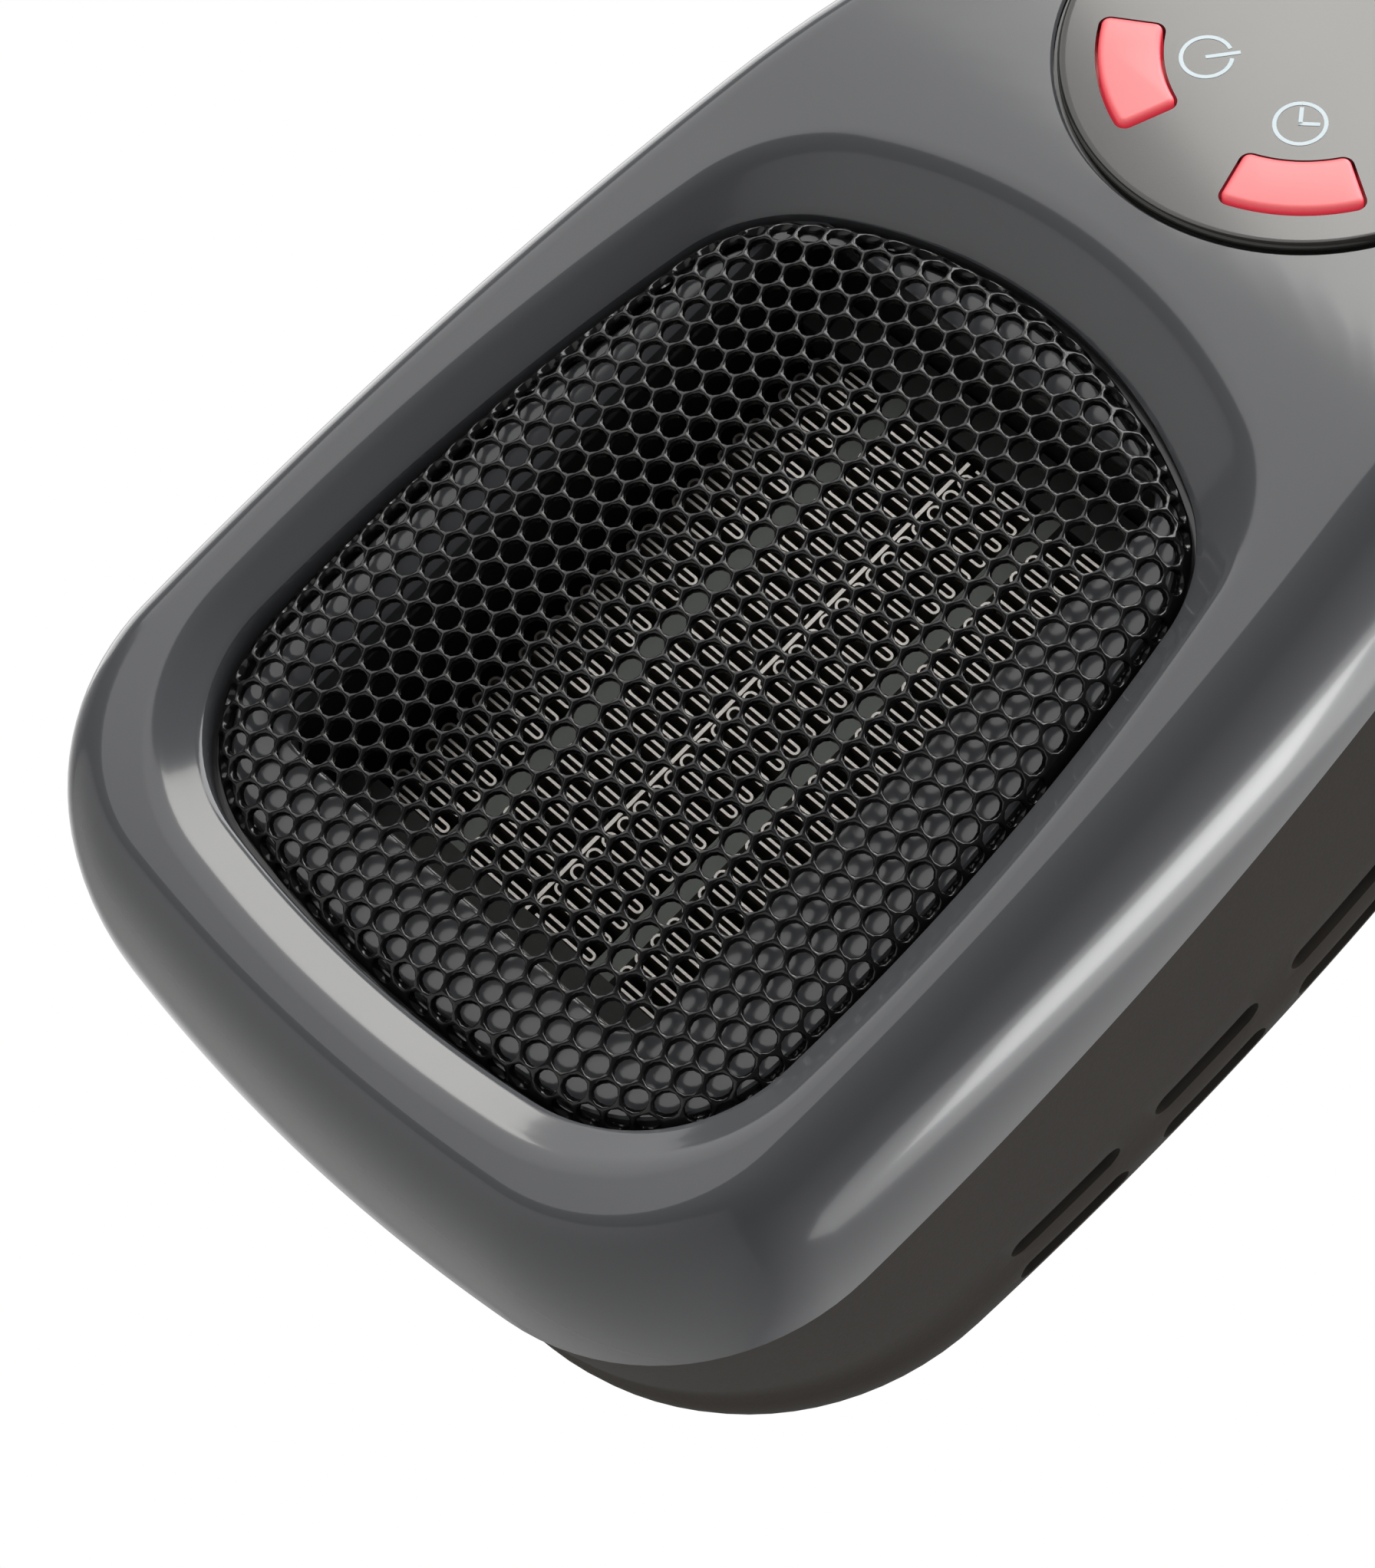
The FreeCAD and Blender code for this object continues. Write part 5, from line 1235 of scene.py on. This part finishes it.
@dataclass
class ControlDisc:
    """The round control panel with its sprung ring-segment buttons and printed signs.

    rim_curve pairs a distance inside the radius with a height, over the disc's rounded edge.
    """
    radius: float = 22.6
    wall: float = 2.0
    lift: float = 0.4
    flange: float = 0.3
    flange_top: float = -0.95
    flange_chamfer: float = 0.1
    rim_curve: tuple[Plan, ...] = (
        (0.0, -0.45), (0.1, -0.2), (0.25, -0.06), (0.5, 0.0), (0.8, 0.0))
    inner: float = 13.3
    outer: float = 18.9
    half_span: float = 20.0
    corner: float = 0.8
    gap: float = 0.3
    proud: float = 0.5
    crown: float = 0.6
    lip: float = 2.3
    lip_reach: float = 0.8
    lip_wall: float = 0.9
    stem_radii: Plan = (1.6, 1.8)
    stem_length: float = 0.7
    bend_steps: int = 6
    sign_radius: float = 2.3
    sign_line: float = 0.38
    sign_ink: float = 0.04
    hoop_steps: int = 20
    angles: dict[str, float] = field(default_factory=lambda: {
        "button_plus": 51.5, "button_minus": 128.5, "button_power": 231.5, "button_timer": 308.5})
    sign_spots: dict[str, Plan] = field(default_factory=lambda: {
        "button_plus": (5.5, 7.0), "button_minus": (-5.5, 7.0), "button_power": (-6.0, -7.0),
        "button_timer": (5.5, -7.0)})

    def place(self) -> Matrix:
        """Where the disc's face lies."""
        return PANEL_PLACE @ Matrix.Translation((0.0, 0.0, self.lift))

    def outline(self, angle: float, spread: float, height: float) -> list[Vector]:
        """Outline of a ring segment with rounded corners, in the panel's own plane.

        Args:
            angle: Direction of its middle in degrees.
            spread: How far it is moved out.
            height: Height over the disc's face.

        Returns:
            The points, going round.
        """
        turn, reach, steps = math.radians(angle), self.corner + spread, self.bend_steps
        spots = []
        for radius, way in ((self.outer - self.corner, 1), (self.inner + self.corner, -1)):
            half = way * (math.radians(self.half_span) - self.corner / radius)
            corners = [[(radius, turn + end, reach, turn + end + math.radians(
                first - way * 90 + 90 / steps * count)) for count in range(steps + 1)]
                for end, first in ((-half, 0), (half, 90))]
            edge = [(radius + way * reach, turn + half * (count / steps - 1), 0.0, 0.0)
                    for count in range(1, 2 * steps)]
            spots += corners[0] + edge + corners[1]
        return [Vector((far * math.cos(place) + out * math.cos(side),
                        far * math.sin(place) + out * math.sin(side), height))
                for far, place, out, side in spots]

    def segment(self, angle: float, spread: float, low: float, high: float) -> BMesh:
        """A ring segment as a plain solid between two heights."""
        return prism(self.outline(angle, spread, low), Vector((0.0, 0.0, high - low)))

    def button(self, name: str, angle: float) -> Object:
        """One button with a crowned face, a retaining lip and a stem.

        Args:
            name: The button's solid and body.
            angle: Direction of its middle in degrees.

        Returns:
            The piece.
        """
        rings = [self.outline(angle, 0.0, -self.lip)]
        for step in range(self.bend_steps + 1):
            bend = math.radians(90 / self.bend_steps * step)
            rings.append(self.outline(angle, self.crown * (math.cos(bend) - 1),
                                      self.proud * math.sin(bend)))
        cap = loft(rings)
        bmesh.ops.holes_fill(cap, edges=cap.edges, sides=0)
        bmesh.ops.recalc_face_normals(cap, faces=cap.faces)
        low = -self.lip - self.lip_wall
        flange = self.segment(angle, self.lip_reach, low, -self.lip)
        turn, middle = math.radians(angle), (self.inner + self.outer) / 2
        stem = bmesh.new()
        bmesh.ops.create_cone(
            stem, cap_ends=True, segments=24, radius1=self.stem_radii[0],
            radius2=self.stem_radii[1], depth=self.stem_length, matrix=Matrix.Translation(
                (middle * math.cos(turn), middle * math.sin(turn), low - self.stem_length / 2)))
        mesh = join(cap, flange, stem)
        bmesh.ops.transform(mesh, matrix=self.place(), verts=mesh.verts)
        return Piece(name + "_cap", Palette.CORAL, "button_plastic", body=name,
                     stands_for=(name,)).build(mesh)

    def plate(self) -> Object:
        """The lacquered disc with openings for the buttons.

        Returns:
            The piece.
        """
        edge, chamfer = self.radius + self.flange, self.flange_chamfer
        mesh = turned([
            (0.0, -self.wall), (edge - chamfer, -self.wall), (edge, -self.wall + chamfer),
            (edge, self.flange_top), (self.radius, self.flange_top),
            *[(self.radius - inside, height) for inside, height in self.rim_curve],
            (0.0, 0.0)], 160)
        bmesh.ops.rotate(mesh, matrix=Matrix.Rotation(math.pi / 2, 3, "X"), verts=mesh.verts)
        openings = [self.segment(angle, self.gap, -4.0, 3.0) for angle in self.angles.values()]
        mesh = carve(mesh, join(*openings))
        bmesh.ops.transform(mesh, matrix=self.place(), verts=mesh.verts)
        return Piece("control_disc_plate", Palette.DISC, "disc_plastic",
                     stands_for=("control_disc",)).build(mesh)

    def bar(self, start: Plan, end: Plan) -> BMesh:
        """A straight stroke of a sign.

        Args:
            start: Where the stroke starts.
            end: Where it ends.

        Returns:
            The stroke.
        """
        first, last = Vector(start), Vector(end)
        way = (last - first).normalized() * self.sign_line / 2
        side = Vector((-way.y, way.x))
        corners = [first - way - side, last + way - side, last + way + side, first - way + side]
        return prism([Vector((c.x, c.y, 0.0)) for c in corners], Vector((0.0, 0.0, self.sign_ink)))

    def hoop(self, gap: float) -> BMesh:
        """A round stroke of a sign, open at its top.

        Args:
            gap: Angle of the opening.

        Returns:
            The stroke.
        """
        outline = []
        for way in (1, -1):
            radius = self.sign_radius + way * self.sign_line / 2
            for count in range(2 * self.hoop_steps + 1):
                share = count / self.hoop_steps - 1
                turn = math.pi / 2 + way * ((math.pi - gap / 2) * share + math.pi)
                outline.append(Vector((radius * math.cos(turn), radius * math.sin(turn), 0.0)))
        return prism(outline, Vector((0.0, 0.0, self.sign_ink)))

    def signs(self) -> Object:
        """The printed signs; the lower ones have their tops towards the middle of the disc.

        Returns:
            The piece.
        """
        size, arm = self.sign_radius, self.sign_radius * 0.8
        strokes = {
            "button_power": [self.hoop(0.5), self.bar((0.0, 0.1), (0.0, size * 1.25))],
            "button_timer": [self.hoop(0.004), self.bar((0.0, 0.0), (0.0, size * 0.72)),
                             self.bar((0.0, 0.0), (size * 0.68, 0.0))],
            "button_plus": [self.bar((-arm, 0.0), (arm, 0.0)), self.bar((0.0, -arm), (0.0, arm))],
            "button_minus": [self.bar((-arm, 0.0), (arm, 0.0))],
        }
        made = []
        for name, parts in strokes.items():
            lower = name in ("button_power", "button_timer")
            turn = math.radians(self.angles[name] + 90.0 if lower else 0.0)
            spot = (Matrix.Translation((*self.sign_spots[name], 0.0))
                    @ Matrix.Rotation(turn, 4, "Z"))
            for stroke in parts:
                bmesh.ops.transform(stroke, matrix=self.place() @ spot, verts=stroke.verts)
                made.append(stroke)
        return Piece("disc_signs", Palette.INK, "disc_plastic").build(join(*made))

    def build(self) -> list[Object]:
        """Builds the panel, its signs and its buttons."""
        return [self.plate(), self.signs(),
                *[self.button(name, angle) for name, angle in self.angles.items()]]


@dataclass
class FinRows:
    """Four folded aluminium strips with round folds, and the sheet between the inner two."""
    width: float = 8.1
    length: float = 57.2
    pitch: float = 1.0
    sheet: float = 0.25
    divider_sheet: float = 0.4
    depth: float = 12.0
    front: float = 18.2
    low: float = -73.0
    fold_steps: int = 6
    lefts: tuple[float, ...] = (-21.15, -10.55, -1.55, 9.05)

    def path(self, left: float) -> list[Plan]:
        """The folded line of one strip.

        Args:
            left: The strip's left side.

        Returns:
            The points as (x, z), from the bottom up.
        """
        fold = self.pitch / 2
        near, far = left + fold + self.sheet / 2, left + self.width - fold - self.sheet / 2
        path = []
        runs = int(self.length / self.pitch) + 1
        for run in range(runs):
            height = self.low + self.sheet / 2 + run * self.pitch
            start, end, way = (near, far, 1) if run % 2 == 0 else (far, near, -1)
            path += [(start, height), (end, height)]
            if run < runs - 1:
                for count in range(1, self.fold_steps):
                    angle = math.pi * count / self.fold_steps
                    path.append((end + way * fold * math.sin(angle),
                                 height + fold * (1 - math.cos(angle))))
        return path

    def row(self, left: float) -> BMesh:
        """One strip: an edge drawn along the folded line, then given its thickness.

        Args:
            left: The strip's left side.

        Returns:
            The strip.
        """
        path = self.path(left)
        mesh = bmesh.new()
        edge = mesh.edges.new([mesh.verts.new(at(path[0], depth))
                               for depth in (self.front, self.front + self.depth)])
        for spot, before in zip(path[1:], path):
            made = bmesh.ops.extrude_edge_only(mesh, edges=[edge])["geom"]
            fresh = [item for item in made if isinstance(item, BMVert)]
            bmesh.ops.translate(mesh, vec=(spot[0] - before[0], 0.0, spot[1] - before[1]),
                                verts=fresh)
            edge = next(item for item in made if isinstance(item, BMEdge)
                        and all(vert in fresh for vert in item.verts))
        bmesh.ops.recalc_face_normals(mesh, faces=mesh.faces)
        bmesh.ops.solidify(mesh, geom=mesh.verts[:] + mesh.edges[:] + mesh.faces[:],
                           thickness=self.sheet)
        bmesh.ops.recalc_face_normals(mesh, faces=mesh.faces)
        return mesh

    def divider(self) -> Object:
        """The thin sheet between the two inner rows.

        Returns:
            The piece.
        """
        half, back = self.divider_sheet / 2, self.front + self.depth
        corners = ((-half, self.front), (half, self.front), (half, back), (-half, back))
        outline = [at((HEATER_X + side, self.low), depth) for side, depth in corners]
        return Piece("divider_sheet", Palette.FIN, "fin_metal", stands_for=("heater_divider",)
                     ).build(prism(outline, Vector((0.0, 0.0, self.length))))

    def build(self) -> list[Object]:
        """Builds the four rows and their divider.

        Returns:
            The pieces.
        """
        rows = []
        for index, left in enumerate(self.lefts, start=1):
            piece = Piece(f"fin_fold_{index}", Palette.FIN, "fin_metal",
                          stands_for=(f"fin_row_{index}",))
            rows.append(piece.build(self.row(left)))
        return rows + [self.divider()]


@dataclass
class Plug:
    """The swivelling plug: moulded body with key notches, and two rounded pins."""
    radius: float = 18.4
    edge_round: float = 1.5
    flange: float = 22.0
    flange_back: float = -22.8
    flange_chamfer: float = 0.3
    inner: float = -25.3
    pin_radius: float = 2.4
    pin_shank: float = 2.0
    pin_length: float = 19.0
    pin_round: float = 1.2
    pin_reach: float = 9.5
    pin_recess: float = 0.5
    key_half: float = 3.0
    key_depth: float = 3.5
    key_end: float = -17.5

    def keys(self) -> BMesh:
        """Cutters for the two key notches.

        Returns:
            The cutters in one mesh.
        """
        cutters, half, above = [], self.key_half, 2.0
        for side in (1.0, -1.0):
            low, high = side * (self.radius - self.key_depth), side * (self.radius + 3.0)
            outline = [Vector((x, above, z))
                       for x, z in ((-half, low), (half, low), (half, high), (-half, high))]
            cutters.append(prism(outline, Vector((0.0, self.key_end - above, 0.0))))
        return join(*cutters)

    def pin_holes(self) -> BMesh:
        """Cutters for the holes that the pins sit in.

        Returns:
            The cutters in one mesh.
        """
        fit, wide, low, high = self.pin_shank + 0.05, self.pin_radius + 0.2, -30.0, 3.0
        profile = [(0.0, low), (fit, low), (fit, -self.pin_recess), (wide, -self.pin_recess),
                   (wide, high), (0.0, high)]
        return join(*[turned(profile, 32, (across, 0.0))
                      for across in (-self.pin_reach, self.pin_reach)])

    def moulding(self) -> Object:
        """The plug's body.

        Returns:
            The piece.
        """
        flange, chamfer = self.flange, self.flange_chamfer
        profile = [(0.0, self.inner), (flange - chamfer, self.inner),
                   (flange, self.inner + chamfer), (flange, self.flange_back),
                   (self.radius, self.flange_back),
                   *rounded(self.radius, 0.0, self.edge_round), (0.0, 0.0)]
        body = carve(turned(profile, 128), self.keys(), self.pin_holes())
        return Piece("plug_moulding", Palette.SHELL, "plug_plastic", body="plug",
                     stands_for=("plug_base",)).build(body)

    def pin(self, name: str, across: float) -> Object:
        """One pin with a rounded tip and a thinner shank.

        Args:
            name: The pin's solid.
            across: Its place in x.

        Returns:
            The piece.
        """
        shank = self.pin_shank
        profile = [(0.0, self.inner), (shank, self.inner), (shank, 0.0), (self.pin_radius, 0.0),
                   *rounded(self.pin_radius, self.pin_length, self.pin_round),
                   (0.0, self.pin_length)]
        return Piece(name + "_turned", Palette.NICKEL, "pin_metal", body="plug",
                     stands_for=(name,)).build(turned(profile, 48, (across, 0.0)))

    def build(self) -> list[Object]:
        """Builds the plug's body and pins."""
        return [self.moulding(), self.pin("live_pin", -self.pin_reach),
                self.pin("neutral_pin", self.pin_reach)]


@dataclass
class KeptSolids:
    """Solids that keep their own shape and get a finish."""
    finishes: tuple[tuple[Finish, tuple[str, ...]], ...] = (
        (Palette.STRIP, ("heater_strip_left", "heater_strip_right")),
        (Palette.BLOCK, ("heater_holder_top", "heater_holder_bottom")),
        (Palette.DUCT, ("heater_duct", "motor_bracket", "plug_retainer")),
        (Palette.FAN, ("fan_impeller",)),
        (Palette.ZINC, ("motor",)),
        (Palette.BOARD, ("control_board", "power_board")),
        (Palette.MOULDING, ("thermal_cutout", "relay", "filter_capacitor", "power_supply",
                            "tact_switches", "display_module")),
        (Palette.SLEEVE, ("heater_leads",)),
        (Palette.BRASS, ("live_contact_ring", "neutral_contact_ring", "live_contact_spring",
                         "neutral_contact_spring")),
        (Palette.STEEL, ("motor_shaft", "board_screws", "case_screws", "duct_screws",
                         "bracket_screws", "power_board_screws", "retainer_screws",
                         "motor_screws")),
    )

    def build(self) -> list[Object]:
        """Gives each kept solid its finish.

        Returns:
            The solids' objects.
        """
        dressed = []
        for finish, names in self.finishes:
            for name in names:
                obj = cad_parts[name]
                obj.data.materials.clear()
                obj.data.materials.append(finish.material())
                dressed.append(obj)
        return dressed


@dataclass(frozen=True)
class Lamp:
    """A soft box, aimed at the heater."""
    name: str
    place: Spot
    size: Plan
    power: float
    tint: Colour = WHITE
    roll: float = 0.0
    aim: Spot = (0.0, -0.06, -0.03)

    def build(self) -> Object:
        """Adds the lamp to the scene.

        Returns:
            The lamp's object.
        """
        data = bpy.data.lights.new(self.name, "AREA")
        data.shape = "RECTANGLE"
        data.size, data.size_y = self.size
        data.energy = self.power
        data.color = self.tint
        obj = bpy.data.objects.new(self.name, data)
        obj.location = self.place
        facing = (Vector(self.aim) - Vector(self.place)).to_track_quat("-Z", "Y").to_matrix()
        obj.rotation_euler = (facing @ Matrix.Rotation(self.roll, 3, "Z")).to_euler()
        obj.visible_camera = False
        bpy.context.scene.collection.objects.link(obj)
        return obj


@dataclass
class Studio:
    """Camera, soft boxes, pale floor and a white surround."""
    place: Spot = (0.2245, -0.4979, -0.1291)
    right: Spot = (0.6781, 0.2339, 0.6967)
    up: Spot = (-0.5748, -0.4219, 0.7011)
    lens: float = 125.8
    sensor: float = 36.0
    floor_height: float = -0.6
    floor_half: float = 1.4
    ambient: float = 0.47
    dark: Colour = (0.11, 0.11, 0.115)
    dusk_ramp: Plan = (3.0, 1.1)
    dusk_least: float = 0.2
    back_ramp: Plan = (0.9, 0.1)
    lamps: tuple[Lamp, ...] = (
        Lamp("overhead_box", (-0.152, -0.118, 0.96), (1.3, 0.78), 14.5),
        Lamp("left_wall", (-0.88, -0.905, 0.515), (1.34, 1.12), 7.0, (1.0, 0.995, 0.98)),
        Lamp("left_back", (-1.0, 0.36, 0.2), (0.6, 0.7), 1.5),
        Lamp("right_strip", (0.865, 0.633, 0.247), (0.135, 0.42), 0.9, roll=-0.8),
        Lamp("right_glow", (0.858, 0.646, 0.238), (0.3, 0.8), 1.3, roll=-0.8),
        Lamp("front_box", (-0.954, -1.674, 1.645), (1.19, 0.69), 13.6, (1.0, 0.985, 0.94),
             aim=(0.0, -0.087, -0.035)),
    )

    def camera(self) -> None:
        """Sets the camera at the photograph's viewing angle."""
        data = bpy.data.cameras.new("camera")
        data.lens = self.lens
        data.sensor_width = self.sensor
        data.sensor_fit = "AUTO"
        obj = bpy.data.objects.new("camera", data)
        right = Vector(self.right).normalized()
        back = right.cross(Vector(self.up)).normalized()
        turn = Matrix((right, back.cross(right), back)).transposed().to_4x4()
        obj.matrix_world = Matrix.Translation(self.place) @ turn
        bpy.context.scene.collection.objects.link(obj)
        bpy.context.scene.camera = obj

    def surround(self) -> None:
        """A white background, a studio that darkens towards the camera, and plain light."""
        world = bpy.data.worlds.new("studio")
        bpy.context.scene.world = world
        world.use_nodes = True
        graph = Graph(world.node_tree)
        path = graph.node("ShaderNodeLightPath")
        way = graph.node("ShaderNodeSeparateXYZ", None, {
            0: graph.out(graph.node("ShaderNodeTexCoord"), "Generated")})
        dusk = graph.out(way, "Z") * self.dusk_ramp[0] + self.dusk_ramp[1]
        back = graph.out(way, "Y") * self.back_ramp[0] + self.back_ramp[1]
        bright = back.larger(0.0).smaller(1.0) * dusk.larger(self.dusk_least).smaller(1.0)
        studio = graph.mix(bright, self.dark, WHITE)
        shown = graph.out(path, "Is Glossy Ray").larger(graph.out(path, "Is Transmission Ray"))
        plain = graph.mix(shown, (self.ambient,) * 3, studio)
        colour = graph.mix(graph.out(path, "Is Camera Ray"), plain, WHITE)
        light = graph.node("ShaderNodeBackground", None, {"Color": colour, "Strength": 1.0})
        graph.node("ShaderNodeOutputWorld", None, {"Surface": graph.out(light)})

    def floor(self) -> None:
        """A pale floor below the heater."""
        mesh = bmesh.new()
        bmesh.ops.create_grid(mesh, x_segments=8, y_segments=8, size=self.floor_half,
                              matrix=Matrix.Translation((0.0, 0.0, self.floor_height)))
        data = bpy.data.meshes.new("floor")
        mesh.to_mesh(data)
        mesh.free()
        data.materials.append(Palette.FLOOR.material())
        obj = bpy.data.objects.new("floor", data)
        bpy.context.scene.collection.objects.link(obj)

    def build(self) -> None:
        """Builds the studio."""
        self.camera()
        self.surround()
        self.floor()
        for lamp in self.lamps:
            lamp.build()
        bpy.context.scene.view_settings.view_transform = "Standard"


def main() -> None:
    """Builds the heater's looks and the studio, and reports the pieces."""
    logging.basicConfig(level=logging.INFO, format="%(name)s: %(message)s")
    for assembly in (Bezel(), RearShell(), GrilleSheet(), ControlDisc(), FinRows(), Plug(),
                     KeptSolids()):
        for obj in assembly.build():
            LOG.info("%s: %d faces, %s", obj.name, len(obj.data.polygons),
                     obj.data.materials[0].name)
    Studio().build()


if __name__ == "__main__":
    main()
